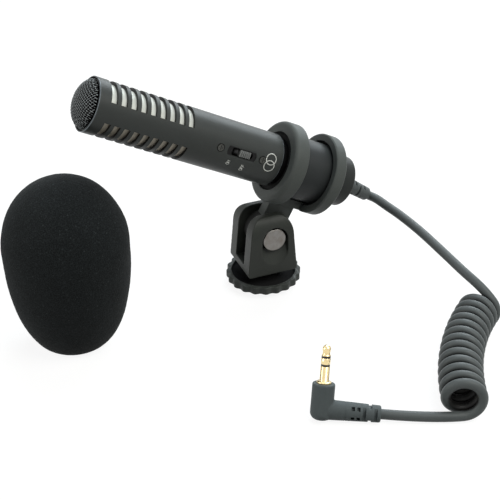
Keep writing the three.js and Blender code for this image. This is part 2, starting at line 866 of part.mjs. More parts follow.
// Bright inner sleeve that shows through the slots
function acousticSleeve() {
  const outer = barrelRadius - barrelWall - gap;
  const front = barrelRear + barrelLength - mouthDepth;
  return barrelRing([
    [outer - sleeveWall, sleeveRear],
    [outer - sleeveWall, front],
    [outer, front],
    [outer, sleeveRear],
  ]);
}

// One capsule of the crossed stereo pair, aimed to its own side
function capsuleSolid(side, radius, length) {
  const capsule = new THREE.CylinderGeometry(radius, radius, length, middleFacets);
  return capsule.rotateZ(side * degrees(capsuleSplay)).translate(side * capsuleOffset, -capsuleStation, 0);
}

function capsuleHolder() {
  const radius = barrelRadius - barrelWall - gap - sleeveWall - gap;
  const body = barrelTurned([
    [0, capsuleStation - holderLength],
    [radius, capsuleStation - holderLength],
    [radius, capsuleStation],
    [0, capsuleStation],
  ], middleFacets);
  const pockets = [-1, 1].map((side) => capsuleSolid(side, capsuleRadius + gap, capsuleLength + 2 * gap));
  return cut(body, pockets);
}

// Board across the barrel, as wide as the bore lets it be
function circuitBoard() {
  const bore = barrelRadius - barrelWall - gap;
  const outer = boardOffset + boardThickness;
  const half = Math.sqrt(bore ** 2 - outer ** 2);
  const rear = neckFront + gap;
  return block([boardOffset, -rear - boardLength, -half], [outer, -rear, half]);
}

// Switch on the board: a body, and a bracket that its two screws hold to the barrel
function slideSwitch() {
  const foot = boardOffset + boardThickness + gap;
  const top = foot + switchBodyHeight;
  const body = block(
    [foot, -switchStation - switchBodyLength / 2, -switchBodyHalfWidth],
    [top, -switchStation + switchBodyLength / 2, switchBodyHalfWidth],
  );
  const bracket = block(
    [top - bracketThickness, -switchStation - bracketLength / 2, -switchBodyHalfWidth],
    [top, -switchStation + bracketLength / 2, switchBodyHalfWidth],
  );
  const holes = screwStations().map((station) => (
    rodAlongX(screwShankRadius + gap, foot, top + overrun, smallFacets).translate(0, -station, 0)
  ));
  return cut(join([body, bracket]), holes);
}

// Slider: a flange under the barrel's wall, and a ribbed thumb piece in the window
function switchSlider() {
  const middle = switchStation - sliderBack;
  const foot = boardOffset + boardThickness + gap + switchBodyHeight + gap;
  const top = barrelRadius + sliderProud;
  const flange = block(
    [foot, -middle - flangeLength / 2, -flangeHalfWidth],
    [foot + flangeThickness, -middle + flangeLength / 2, flangeHalfWidth],
  );
  const thumb = block(
    [foot, -middle - sliderLength / 2, -sliderWidth / 2],
    [top, -middle + sliderLength / 2, sliderWidth / 2],
  );
  const pitch = sliderLength / sliderRibs;
  const groove = pitch * (1 - sliderRibShare);
  const grooves = [];
  for (let i = 1; i < sliderRibs; i += 1) {
    const at = -middle - sliderLength / 2 + i * pitch;
    const wide = sliderWidth / 2 + overrun;
    grooves.push(block([top - sliderRibDepth, at - groove / 2, -wide], [top + overrun, at + groove / 2, wide]));
  }
  return cut(join([flange, thumb]), grooves);
}

// Small cross-head screw that holds the switch to the barrel
function switchScrew(station) {
  const seat = barrelRadius - screwHeadHeight + gap / 2;
  const top = seat + screwHeadHeight;
  const head = rodAlongX(screwHeadRadius, seat, top, smallFacets);
  const shank = rodAlongX(screwShankRadius, top - screwLength, seat + screwHeadHeight / 2, smallFacets);
  const arm = screwHeadRadius * screwCrossShare;
  const half = screwCrossWidth / 2;
  const cross = [
    block([top - screwCrossDepth, -arm, -half], [top + overrun, arm, half]),
    block([top - screwCrossDepth, -half, -arm], [top + overrun, half, arm]),
  ];
  return cut(join([head, shank]), cross).translate(0, -station, 0);
}

function batteryCell() {
  const half = cellThickness / 2;
  return barrelTurned([
    [0, cellStation - half],
    [cellRadius, cellStation - half],
    [cellRadius, cellStation + half - cellEdge],
    [cellRadius - cellEdge, cellStation + half - cellEdge],
    [cellRadius - cellEdge, cellStation + half],
    [0, cellStation + half],
  ], middleFacets);
}

function batteryHolder() {
  const half = cellHolderLength / 2;
  return barrelRing([
    [cellRadius + gap, cellStation - half],
    [cellRadius + gap, cellStation + half],
    [bodyBore - gap, cellStation + half],
    [bodyBore - gap, cellStation - half],
  ], middleFacets);
}

function batterySpring() {
  const front = cellStation - cellThickness / 2 - gap;
  return barrelTurned([
    [0, front - springThickness],
    [springRadius, front - springThickness],
    [springRadius, front],
    [0, front],
  ], smallFacets);
}

// Frame of the microphone in the model, for what meets it from outside
const tilted = new THREE.Group();
tilted.position.set(0, pivotBack, pivotHeight);
tilted.rotation.x = -degrees(micPitch);
const microphone = new THREE.Group();
microphone.position.set(0, 0, axisHeight);
microphone.rotation.y = -degrees(micRoll);
tilted.add(microphone);
// The gland's frame: its origin is where the gland leaves the cap, and the cord's weight bends it down
const gland = new THREE.Group();
gland.position.set(0, capLength + gap - waistRear, axisHeight);
gland.rotation.x = -degrees(glandDroop);
tilted.add(gland);
model.add(tilted);
model.updateMatrixWorld(true);

// The curly stretch lies on the table, one coil radius up
const coilHeight = coilMeanRadius + cordRadius + coilFloorGap;
const coilAxis = coilArc();
const upward = new THREE.Vector3(0, 0, 1);

// The middle line is one round arc through both ends and the bow between them
function coilArc() {
  const from = new THREE.Vector2(...coilLeadEnd);
  const to = new THREE.Vector2(...coilTailEnd);
  const chord = to.clone().sub(from);
  const bendRadius = (chord.length() ** 2 / 4 + coilBow ** 2) / (2 * coilBow);
  const bowWay = new THREE.Vector2(chord.y, -chord.x).normalize();
  const centre = from.clone().lerp(to, 0.5).addScaledVector(bowWay, coilBow - bendRadius);
  const [startAngle, endAngle] = [from, to].map((end) => end.clone().sub(centre).angle());
  return new THREE.ArcCurve(centre.x, centre.y, bendRadius, startAngle, endAngle, false);
}

// A place on the curl: the share runs from the lead's end to the tail's end
function coilPoint(share) {
  const place = coilAxis.getPoint(share);
  const heading = coilAxis.getTangent(share);
  const middle = new THREE.Vector3(place.x, place.y, coilHeight);
  const along = new THREE.Vector3(heading.x, heading.y, 0);
  const across = new THREE.Vector3().crossVectors(along, upward).normalize().negate();
  const angle = degrees(coilStartAngle) - 2 * Math.PI * coilTurns * share;
  return middle
    .addScaledVector(across, coilMeanRadius * Math.cos(angle))
    .addScaledVector(upward, coilMeanRadius * Math.sin(angle));
}

function coilCourse() {
  const steps = Math.round(coilTurns * stepsPerTurn);
  const turns = Array.from({ length: steps + 1 }, (unused, i) => coilPoint(i / steps));
  const straight = 2 * cordRadius;
  const small = 1 / (steps * stepsPerTurn);
  const startWay = coilPoint(0).sub(coilPoint(small)).normalize();
  const endWay = coilPoint(1).sub(coilPoint(1 - small)).normalize();
  const start = turns[0].clone().addScaledVector(startWay, straight);
  const end = turns[steps].clone().addScaledVector(endWay, straight);
  return { points: [start, ...turns, end], start, end, startWay, endWay };
}

// An unbroken tube of flat-sided rings, one at each point, closed at both ends
function ringTube(points, radius, sides) {
  const positions = [];
  const index = [];
  const last = points.length - 1;
  let across = new THREE.Vector3();
  points.forEach((point, i) => {
    const before = points[Math.max(i - 1, 0)];
    const after = points[Math.min(i + 1, last)];
    const along = after.clone().sub(before).normalize();
    if (i === 0) across.crossVectors(along, upward).normalize();
    across.addScaledVector(along, -across.dot(along)).normalize();
    const other = new THREE.Vector3().crossVectors(along, across);
    for (let side = 0; side < sides; side += 1) {
      const angle = 2 * Math.PI * side / sides;
      const corner = point.clone()
        .addScaledVector(across, radius * Math.cos(angle))
        .addScaledVector(other, radius * Math.sin(angle));
      positions.push(corner.x, corner.y, corner.z);
    }
  });
  for (let i = 0; i < last; i += 1) {
    for (let side = 0; side < sides; side += 1) {
      const a = i * sides + side;
      const b = i * sides + (side + 1) % sides;
      index.push(a, b, b + sides, a, b + sides, a + sides);
    }
  }
  for (let side = 1; side < sides - 1; side += 1) {
    index.push(0, side + 1, side);
    index.push(last * sides, last * sides + side, last * sides + side + 1);
  }
  const geometry = new THREE.BufferGeometry();
  geometry.setAttribute('position', new THREE.Float32BufferAttribute(positions, 3));
  geometry.setIndex(index);
  return geometry;
}

// Least gap between neighbouring turns, measured on points half a turn or more apart along the curl
function leastCoilGap() {
  const samples = Math.round(coilTurns * stepsPerTurn * 3);
  const points = Array.from({ length: samples + 1 }, (unused, i) => coilPoint(i / samples));
  const apart = Math.round(samples / coilTurns / 2);
  let least = Infinity;
  for (let i = 0; i <= samples; i += 1) {
    for (let j = i + apart; j <= Math.min(i + 3 * apart, samples); j += 1) {
      least = Math.min(least, points[i].distanceTo(points[j]));
    }
  }
  return least - 2 * cordRadius;
}

// A free stretch of the cord: a round section drawn along a smooth route
function cordStretch(points, steps) {
  const section = new THREE.Shape();
  for (let side = 0; side < cordSides; side += 1) {
    const angle = 2 * Math.PI * side / cordSides;
    const x = cordRadius * Math.cos(angle);
    const y = cordRadius * Math.sin(angle);
    if (side === 0) section.moveTo(x, y);
    else section.lineTo(x, y);
  }
  const path = new THREE.CatmullRomCurve3(points);
  return new THREE.ExtrudeGeometry(section, { steps, extrudePath: path, bevelEnabled: false });
}

function glandTipPoint(beyond) {
  return gland.localToWorld(new THREE.Vector3(0, glandLength + beyond, 0));
}

function cordLead(coil) {
  const entry = [2 * cordRadius, 0].map((back) => (
    coil.start.clone().addScaledVector(coil.startWay, gap + back)
  ));
  return cordStretch([
    glandTipPoint(gap),
    glandTipPoint(gap + cordRadius),
    ...leadLine.map((place) => new THREE.Vector3(...place)),
    ...entry,
  ], leadSteps);
}

// Plug frame: the arm runs along its X, the pin along its Z, and the elbow is its origin
const plug = new THREE.Group();
plug.rotation.order = 'ZYX';
plug.position.set(...plugPlace, plugBodyRadius + plugFloorGap);
plug.rotation.set(degrees(plugRoll), degrees(plugSlope), degrees(plugYaw));
model.add(plug);
model.updateMatrixWorld(true);

function cordTail(coil) {
  const exit = [0, cordRadius].map((ahead) => (
    coil.end.clone().addScaledVector(coil.endWay, gap + ahead)
  ));
  const arrive = [armLength + gap + cordRadius, armLength + gap].map((along) => (
    plug.localToWorld(new THREE.Vector3(along, 0, 0))
  ));
  return cordStretch([
    ...exit,
    ...tailLine.map((place) => new THREE.Vector3(...place)),
    ...arrive,
  ], tailSteps);
}

// Plug moulding: an upright body that carries the pin, a round elbow and a slotted arm
function plugHousing() {
  const body = turned([
    [0, 0],
    [plugBodyRadius, 0],
    [plugBodyRadius, plugBodyHeight - plugEdge],
    [plugBodyRadius - plugEdge, plugBodyHeight],
    [0, plugBodyHeight],
  ], middleFacets);
  const elbow = new THREE.SphereGeometry(plugBodyRadius, middleFacets, smallFacets);
  const arm = turned([
    [0, 0],
    [armRootRadius, 0],
    [armTipRadius, armLength - armTipRound],
    [armTipRadius - armTipRound, armLength],
    [0, armLength],
  ], middleFacets);
  const slots = crossSlots(
    armSlotCount,
    armFirstSlot,
    armSlotPitch,
    armSlotWidth,
    armSlotDepth,
    armTipRadius,
  );
  const slotted = cut(arm, slots).rotateY(Math.PI / 2);
  return join([body, elbow.rotateX(Math.PI / 2), slotted]);
}

// Heights of the pin's pieces above the elbow, from the shoulder to the tip
function pinHeights() {
  const shoulder = plugBodyHeight + gap;
  const rearInsulator = shoulder + pinFlangeThickness + pinSleeveLength + pinGap;
  const ring = rearInsulator + pinInsulator + pinGap;
  const frontInsulator = ring + pinRingLength + pinGap;
  const tip = frontInsulator + pinInsulator + pinGap;
  return { shoulder, rearInsulator, ring, frontInsulator, tip };
}

function plugSleeve() {
  const { shoulder } = pinHeights();
  return turned([
    [0, shoulder],
    [pinFlangeRadius, shoulder],
    [pinFlangeRadius, shoulder + pinFlangeThickness],
    [pinRadius, shoulder + pinFlangeThickness],
    [pinRadius, shoulder + pinFlangeThickness + pinSleeveLength],
    [0, shoulder + pinFlangeThickness + pinSleeveLength],
  ], middleFacets);
}

function plugInsulator(foot) {
  return rodAlongZ(pinRadius - pinRecess, foot, foot + pinInsulator, middleFacets);
}

function plugRing() {
  const { ring } = pinHeights();
  return rodAlongZ(pinRadius, ring, ring + pinRingLength, middleFacets);
}

function plugTip() {
  const { tip } = pinHeights();
  return turned([
    [0, tip],
    [pinRadius, tip],
    [pinRadius, tip + pinTipLength * pinTipShares.shoulder],
    [pinTipNeckRadius, tip + pinTipLength * pinTipShares.neck],
    [pinRadius - pinRecess, tip + pinTipLength * pinTipShares.bulb],
    [pinCoreRadius, tip + pinTipLength * pinTipShares.nose],
    [pinTipNoseRadius, tip + pinTipLength],
    [0, tip + pinTipLength],
  ], middleFacets);
}

// Windscreen: an egg of foam with a blind bore from its narrow open end
function windscreen() {
  const profile = [];
  for (let i = 0; i <= windscreenRows; i += 1) {
    const share = i / windscreenRows;
    const swell = (1 - (1 - share) ** windscreenSwellPower) ** windscreenRoundPower;
    profile.push([windscreenNeck + (windscreenRadius - windscreenNeck) * swell, windscreenWidest * share]);
  }
  for (let i = 1; i <= windscreenRows; i += 1) {
    const angle = Math.PI / 2 * i / windscreenRows;
    profile.push([
      i === windscreenRows ? 0 : windscreenRadius * Math.cos(angle),
      windscreenWidest + (windscreenHeight - windscreenWidest) * Math.sin(angle),
    ]);
  }
  const boreEnd = windscreenBoreDepth - windscreenBore;
  profile.push([0, windscreenBoreDepth]);
  profile.push([windscreenBore * Math.SQRT1_2, boreEnd + windscreenBore * Math.SQRT1_2]);
  profile.push([windscreenBore, boreEnd]);
  profile.push([windscreenBore, 0]);
  return turnedRing(profile, windscreenFacets).translate(...windscreenPlace, 0);
}

// Mount, which stays with the camera
addPart(model, 'shoe_foot', shoeFoot(), clevisPlastic);
addPart(model, 'shoe_stud', shoeStud(), boltSteel);
addPart(model, 'lock_wheel', lockWheel(), clevisPlastic);
addPart(model, 'pressure_plate', pressurePlate(), washerNylon);
addPart(model, 'yoke', clevis(), clevisPlastic);
addPart(model, 'pivot_bolt', pivotBolt(), boltSteel);
addPart(model, 'pivot_nut', pivotNut(), boltSteel);
addPart(model, 'friction_washer_near', frictionWasher(1), washerNylon);
addPart(model, 'friction_washer_far', frictionWasher(-1), washerNylon);

// Cradle with its isolators, which tilts
addPart(tilted, 'cradle_frame', cradleFrame(), cradlePlastic);
const isolatorFront = frontHoopFace - lipThickness - gap;
addPart(
  tilted,
  'front_isolator',
  isolator(isolatorFront, frontHoopFace - frontHoopLength + 2 * gap),
  isolatorRubber,
);
addPart(
  tilted,
  'rear_isolator',
  isolator(rearHoopFace - lipThickness - gap, rearHoopFace - rearHoopLength + gap),
  isolatorRubber,
);

// Microphone, which tilts with the cradle
addPart(microphone, 'barrel_tube', barrelTube(), barrelPaint);
addPart(microphone, 'rear_body', rearBody(), cradlePlastic);
addPart(microphone, 'end_cap', endCap(), cradlePlastic);
addPart(gland, 'cord_gland', cordGland(), cordJacket);
addPart(microphone, 'front_grille', frontGrille(), meshWire);
addPart(microphone, 'grille_ring', grilleRing(), meshWire);
addPart(microphone, 'acoustic_sleeve', acousticSleeve(), sleeveMetal);
addPart(microphone, 'left_capsule', capsuleSolid(1, capsuleRadius, capsuleLength), capsuleMetal);
addPart(microphone, 'right_capsule', capsuleSolid(-1, capsuleRadius, capsuleLength), capsuleMetal);
addPart(microphone, 'capsule_holder', capsuleHolder(), holderRubber);
addPart(microphone, 'circuit_board', circuitBoard(), boardGreen);
addPart(microphone, 'slide_switch', slideSwitch(), switchNylon);
addPart(microphone, 'switch_slider', switchSlider(), switchNylon);
['screw_front', 'screw_rear'].forEach((name, i) => {
  addPart(microphone, name, switchScrew(screwStations()[i]), screwSteel);
});
addPart(microphone, 'battery_cell', batteryCell(), cellSteel);
addPart(microphone, 'battery_holder', batteryHolder(), holderRubber);
addPart(microphone, 'battery_spring', batterySpring(), cellSteel);

// Cord and plug, which lie on the table
const coil = coilCourse();
addPart(model, 'cord_lead', cordLead(coil), cordJacket);
addPart(model, 'cord_coil', ringTube(coil.points, cordRadius, coilSides), cordJacket);
addPart(model, 'cord_tail', cordTail(coil), cordJacket);
addPart(plug, 'plug_housing', plugHousing(), plugMoulding);
addPart(plug, 'plug_sleeve', plugSleeve(), pinGold);
addPart(plug, 'plug_insulator_rear', plugInsulator(pinHeights().rearInsulator), pinPlastic);
addPart(plug, 'plug_ring', plugRing(), pinGold);
addPart(plug, 'plug_insulator_front', plugInsulator(pinHeights().frontInsulator), pinPlastic);
addPart(plug, 'plug_tip', plugTip(), pinGold);
console.log(`least gap between the curls: ${leastCoilGap().toFixed(2)} mm`);

// Windscreen, taken off and stood beside the microphone
addPart(model, 'windscreen', windscreen(), foam);

export default model;
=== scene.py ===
import math

import bmesh
import bpy
from mathutils import Matrix, Vector, noise


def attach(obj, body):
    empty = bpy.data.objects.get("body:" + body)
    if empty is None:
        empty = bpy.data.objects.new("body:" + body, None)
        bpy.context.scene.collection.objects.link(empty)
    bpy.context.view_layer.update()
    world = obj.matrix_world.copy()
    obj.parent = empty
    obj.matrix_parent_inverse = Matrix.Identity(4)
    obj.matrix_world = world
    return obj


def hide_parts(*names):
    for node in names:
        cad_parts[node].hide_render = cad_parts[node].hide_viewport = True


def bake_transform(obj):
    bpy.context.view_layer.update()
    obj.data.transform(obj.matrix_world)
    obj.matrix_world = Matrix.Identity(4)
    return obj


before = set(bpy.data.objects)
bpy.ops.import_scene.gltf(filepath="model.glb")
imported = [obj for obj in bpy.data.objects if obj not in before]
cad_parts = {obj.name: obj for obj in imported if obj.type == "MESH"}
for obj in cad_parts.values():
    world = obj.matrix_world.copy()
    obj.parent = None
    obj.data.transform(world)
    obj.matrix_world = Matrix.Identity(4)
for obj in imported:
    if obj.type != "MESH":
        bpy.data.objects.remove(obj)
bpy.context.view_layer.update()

# Camera: the photograph is taken from the microphone's right, above it and a little ahead of it,
# from about half a metre away with a long lens. The whole picture leans by half a degree.
camera_azimuth = math.radians(68.312)
camera_elevation = math.radians(32.113)
camera_roll = math.radians(-0.5055)
camera_aim = Vector((0, -0.006223, 0.016769))
camera_distance = 0.493434
away = Vector((
    math.sin(camera_azimuth) * math.cos(camera_elevation),
    -math.cos(camera_azimuth) * math.cos(camera_elevation), math.sin(camera_elevation)
))
level = Vector((math.cos(camera_azimuth), math.sin(camera_azimuth), 0))
rightward = Matrix.Rotation(camera_roll, 3, away) @ level
camera_place = camera_aim + away * camera_distance
lens = bpy.data.cameras.new("camera")
lens.sensor_width = 36
lens.lens = 82.006
lens.clip_start = 0.01
camera = bpy.data.objects.new("camera", lens)
camera.matrix_world = Matrix.Translation(camera_place) @ Matrix((
    rightward, away.cross(rightward), away
)).transposed().to_4x4()
bpy.context.scene.collection.objects.link(camera)
bpy.context.scene.camera = camera


# Cord: one jacketed cable, 3.9 mm thick, soft PVC with a satin skin. It leaves the gland, sags to
# the table, runs through thirteen curls that lie on their side, and ends in the plug.
class Wire:
    """One socket of a material, on which Python's operators build the material's maths."""

    def __init__(self, tree, socket=None):
        self.tree, self.socket = tree, socket

    def add(self, kind, settings=None, sockets=None, out=0):
        """Any other node: its settings first, then the values or links of its sockets."""
        made = self.tree.nodes.new("ShaderNode" + kind)
        for name, value in (settings or {}).items():
            if name == "stops":
                ramp = made.color_ramp.elements
                while len(ramp) < len(value):
                    ramp.new(0.5)
                for stop, (place, grey) in zip(ramp, value):
                    stop.position = place
                    stop.color = (grey, grey, grey, 1)
            else:
                setattr(made, name, value)
        for key, value in (sockets or {}).items():
            if isinstance(value, Wire):
                self.tree.links.new(value.socket, made.inputs[key])
            else:
                made.inputs[key].default_value = value
        return Wire(self.tree, made.outputs[out])

    def sum(self, operation, first, second=0.0):
        return self.add("Math", {"operation": operation}, {0: first, 1: second})

    def __add__(self, other):
        return self.sum("ADD", self, other)

    def __sub__(self, other):
        return self.sum("SUBTRACT", self, other)

    def __rsub__(self, other):
        return self.sum("SUBTRACT", other, self)

    def __mul__(self, other):
        return self.sum("MULTIPLY", self, other)

    __radd__, __rmul__ = __add__, __mul__

    def clamp(self, low=0.0, high=1.0):
        return self.add("Clamp", None, {0: self, 1: low, 2: high})

    def tint(self, low, high):
        """The colour between two tones at this share."""
        return self.add("Mix", {"data_type": "RGBA"}, {0: self, 6: low, 7: high}, 2)

    def vector(self, operation, first, second=(0, 0, 0), out=0):
        return self.add("VectorMath", {"operation": operation}, {0: first, 1: tuple(second)}, out)

    def noise(self, place, scale, detail=2.0, roughness=0.5):
        sockets = {"Vector": place, "Scale": scale, "Detail": detail, "Roughness": roughness}
        return self.add("TexNoise", None, sockets)

    def bump(self, strength, distance):
        return self.add("Bump", None, {"Strength": strength, "Distance": distance, "Height": self})

    def to(self, shader, socket):
        self.tree.links.new(self.socket, shader.inputs[socket])


def srgb(red, green, blue):
    """A colour as a picture shows it, from 0 to 255, as the shader wants it."""
    share = [value / 255 for value in (red, green, blue)]
    return (*(v / 12.92 if v <= 0.04045 else ((v + 0.055) / 1.055) ** 2.4 for v in share), 1)


def blank(name):
    """A new material, its shader, a wire to start its maths from, and each place on the piece."""
    material = bpy.data.materials.new(name)
    material.use_nodes = True
    wire = Wire(material.node_tree)
    return material, wire.tree.nodes["Principled BSDF"], wire, wire.add("TexCoord", out=3)


def finish(name, dark, light, grain, height, rough, wander=60.0, painted_shade=None, **plain):
    """A material whose colour wanders between two tones, under a grain that stands up a little.

    A painted shade is a function that measures how far a place lies from something, the tone of
    what lies nearer than a first distance, and a second distance where the other tones take over;
    it paints shade into the colour where light falls short.
    """
    material, shader, wire, place = blank(name)
    cloud = wire.noise(place, wander, 4.0, 0.6)
    speck = wire.noise(place, grain, 3.0, 0.7)
    colour = (cloud * 0.75 + speck * 0.5 - 0.12).clamp().tint(dark, light)
    if painted_shade:
        measure, shade, near, far = painted_shade
        colour = ((measure(wire, place) - near) * (1 / (far - near))).clamp().tint(shade, colour)
    colour.to(shader, "Base Color")
    (cloud * 0.12 + speck * 0.08 + (rough - 0.1)).clamp(0.05, 1.0).to(shader, "Roughness")
    speck.bump(0.6, height).to(shader, "Normal")
    for socket, value in plain.items():
        shader.inputs[socket.replace("_", " ")].default_value = value
    return material


def from_line(point, way):
    """Measures how far a place lies from a line."""
    return lambda wire, place: wire.vector(
        "LENGTH", wire.vector("CROSS_PRODUCT", wire.vector("SUBTRACT", place, point), way), out=1
    )


def sound_mesh(name, points, faces):
    """A mesh whose faces all look out of it."""
    mesh = bpy.data.meshes.new(name)
    mesh.from_pydata([tuple(p) for p in points], [], faces)
    mesh.validate()
    work = bmesh.new()
    work.from_mesh(mesh)
    bmesh.ops.recalc_face_normals(work, faces=work.faces)
    work.to_mesh(mesh)
    work.free()
    return mesh


def piece(name, points, faces, body, slot, material, stands_for=(), place=None, smooth=40):
    """A mesh that rides on a body, wears the material it is given and stands for CAD nodes.

    Its slot is not used.
    """
    mesh = sound_mesh(name, points, faces)
    if place is not None:
        mesh.transform(place)
    mesh.shade_smooth()
    if smooth:
        mesh.set_sharp_from_angle(angle=math.radians(smooth))
    mesh.materials.append(material)
    made = bpy.data.objects.new(name, mesh)
    bpy.context.scene.collection.objects.link(made)
    if body:
        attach(made, body)
    if stands_for:
        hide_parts(*stands_for)
    return made


def tube(route, radius, sides):
    """Points and faces of a round tube along a route, without twist."""
    route = [Vector(p) for p in route]
    last = len(route) - 1
    points, faces = [], []
    across = (route[1] - route[0]).normalized().orthogonal().normalized()
    for i, here in enumerate(route):
        along = (route[min(i + 1, last)] - route[max(i - 1, 0)]).normalized()
        across = (across - along * across.dot(along)).normalized()
        other = along.cross(across)
        for side in range(sides):
            turn = math.tau * side / sides
            points.append(here + (across * math.cos(turn) + other * math.sin(turn)) * radius)
    for i in range(last):
        for side in range(sides):
            a, b = i * sides + side, i * sides + (side + 1) % sides
            faces.append((a, b, b + sides, a + sides))
    return points, [*faces, tuple(reversed(range(sides))), tuple(range(last * sides, len(points)))]


def smooth_route(stops, steps):
    """A curve through every stop, with even speed between them, as a centripetal spline has."""
    stops = [Vector(p) for p in stops]
    stops = [stops[0] * 2 - stops[1], *stops, stops[-1] * 2 - stops[-2]]
    route = []
    for i in range(1, len(stops) - 2):
        p0, p1, p2, p3 = stops[i - 1:i + 3]
        t0, t1, t2 = (math.sqrt((b - a).length) for a, b in ((p0, p1), (p1, p2), (p2, p3)))
        out = ((p1 - p0) / t0 - (p2 - p0) / (t0 + t1) + (p2 - p1) / t1) * t1
        into = ((p2 - p1) / t1 - (p3 - p1) / (t1 + t2) + (p3 - p2) / t2) * t1
        for k in range(steps):
            s = k / steps
            route.append(
                p1 * (2 * s**3 - 3 * s**2 + 1) + out * (s**3 - 2 * s**2 + s)
                + p2 * (3 * s**2 - 2 * s**3) + into * (s**3 - s**2)
            )
    return [*route, stops[-2]]


cord_radius = 0.00195
pivot = Vector((0, 0.0012, 0.02565))
pitch = -27.4
roll = -11.5
axis_height = 0.0304


def shifted(x, y, z):
    return Matrix.Translation((x, y, z))


def spun(degrees, axis):
    return Matrix.Rotation(math.radians(degrees), 4, axis)


# Cradle frame: the tilted parts' own place, with the microphone's axis along Y at the axis height
cradle_place = Matrix.Translation(pivot) @ spun(pitch, "X")
barrel_place = cradle_place @ shifted(0, 0, axis_height) @ spun(roll, "Y") @ spun(90, "X")
cap_rear = -0.0237
gland_droop = -8
gland_length = 0.0158
gland_start = cradle_place @ shifted(0, -cap_rear, axis_height)
gland_place = gland_start @ spun(gland_droop, "X") @ spun(-90, "X")
plug_place = shifted(0.0943, -0.0156, 0.00432) @ spun(63.5, "Z") @ spun(3, "Y") @ spun(-23, "X")
arm_length = 0.0219
arm_drop = 0.0003

# The curls wind round an arc that lies on the table
coil_lead_end = Vector((0.0663, 0.0695))
coil_tail_end = Vector((0.1159, 0.0324))
coil_bow = 0.0044
coil_mean_radius = 0.00675
coil_height = coil_mean_radius + cord_radius + 0.00005
coil_turns = 13.383
coil_start_angle = math.radians(48)
coil_steps = 40
chord = coil_tail_end - coil_lead_end
bend_radius = (chord.length_squared / 4 + coil_bow**2) / (2 * coil_bow)
bow_way = Vector((chord.y, -chord.x)).normalized()
bend_centre = (coil_lead_end + coil_tail_end) / 2 + bow_way * (coil_bow - bend_radius)
bend_start, bend_end = (
    math.atan2(*reversed(end - bend_centre)) for end in (coil_lead_end, coil_tail_end)
)
if bend_end < bend_start:
    bend_end += math.tau


def curl(share):
    """A place on the curls, from the lead's end at 0 to the tail's end at 1."""
    turn = bend_start + (bend_end - bend_start) * share
    outward = Vector((math.cos(turn), math.sin(turn), 0))
    along = Vector((-outward.y, outward.x, 0))
    across = -along.cross(Vector((0, 0, 1))).normalized()
    angle = coil_start_angle - math.tau * coil_turns * share
    middle = bend_centre.to_3d() + outward * bend_radius + Vector((0, 0, coil_height))
    return middle + (across * math.cos(angle) + Vector((0, 0, math.sin(angle)))) * coil_mean_radius


curl_steps = round(coil_turns * coil_steps)
curls = [curl(i / curl_steps) for i in range(curl_steps + 1)]
start_way = (curl(0.0001) - curl(0)).normalized()
end_way = (curl(1) - curl(0.9999)).normalized()


def swung(start, way, end, arrival, reach, steps):
    """A curve that leaves one place along a direction and reaches another along its own."""
    stops = start, start + way * reach, end - arrival * reach, end
    route = []
    for i in range(steps + 1):
        s = i / steps
        weights = (1 - s) ** 3, 3 * s * (1 - s) ** 2, 3 * s * s * (1 - s), s**3
        route.append(sum((p * w for p, w in zip(stops, weights)), Vector()))
    return route


lead_line = [
    gland_place @ Vector((0, 0, gland_length)),
    gland_place @ Vector((0, 0, gland_length + 0.0003 + cord_radius)), (0.0033, 0.0523, 0.0313),
    (0.0085, 0.0548, 0.0299), (0.0158, 0.0575, 0.0286), (0.0280, 0.0606, 0.0267),
    (0.0400, 0.0630, 0.0245), (0.0537, 0.0657, 0.0217)
]
lead = smooth_route(lead_line, 5)
lead_turn = swung(lead[-1], (lead[-1] - lead[-2]).normalized(), curls[0], start_way, 0.0075, 16)
arm_end = plug_place @ Vector((arm_length - 0.0005, 0, -arm_drop))
arm_way = (plug_place.to_3x3() @ Vector((-1, 0, 0))).normalized()
tail = swung(curls[-1], end_way, arm_end, arm_way, 0.009, 24)
cord_route = [*lead, *lead_turn[1:-1], *curls, *tail[1:]]
cord_length = sum((b - a).length for a, b in zip(cord_route, cord_route[1:]))
coil_heart = (bend_centre.x, bend_centre.y, coil_height)
last_way = (curl(1) - curl(1 - 1 / coil_turns)).normalized()
last_loop = curl(1)
past_reach = 0.004


def from_coil(wire, place):
    """Measures how far a place lies from the curls' arc, and more past their last loop."""
    arm = wire.vector("SUBTRACT", place, coil_heart)
    out = wire.vector("LENGTH", wire.vector("MULTIPLY", arm, (1, 1, 0)), out=1) - bend_radius
    rise = wire.vector("DOT_PRODUCT", arm, (0, 0, 1), 1)
    past = wire.vector("DOT_PRODUCT", wire.vector("SUBTRACT", place, last_loop), last_way, 1)
    distance = wire.sum("SQRT", out * out + rise * rise)
    return distance + ((past + 0.0034) * (1 / past_reach)).clamp() * past_reach


# Nearer the curls' arc than the outside of each curl the jacket turns near black (24, 24, 23):
# painted shade in the grooves and inside the curls, fading out past the last loop.
jacket = finish(
    "cord_jacket", srgb(76, 81, 82), srgb(98, 103, 104), 2500.0, 0.00004, 0.46, 90.0,
    (from_coil, srgb(24, 24, 23), coil_mean_radius + 0.0004, coil_mean_radius + 0.0016),
    Specular_IOR_Level=0.25
)
cord_points, cord_faces = tube(cord_route, cord_radius, 24)
cord = piece(
    "cord", cord_points, cord_faces, None, "cord_jacket", jacket,
    ("cord_lead", "cord_coil", "cord_tail")
)
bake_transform(cord)


# Gland and plug: soft mouldings on the cord, slotted crosswise so that they bend with it. The plug
# turns a right angle and carries a gold-plated 3.5 mm pin in three parts, set in black nylon.
def polar(radius, angle):
    return radius * math.cos(angle), radius * math.sin(angle)


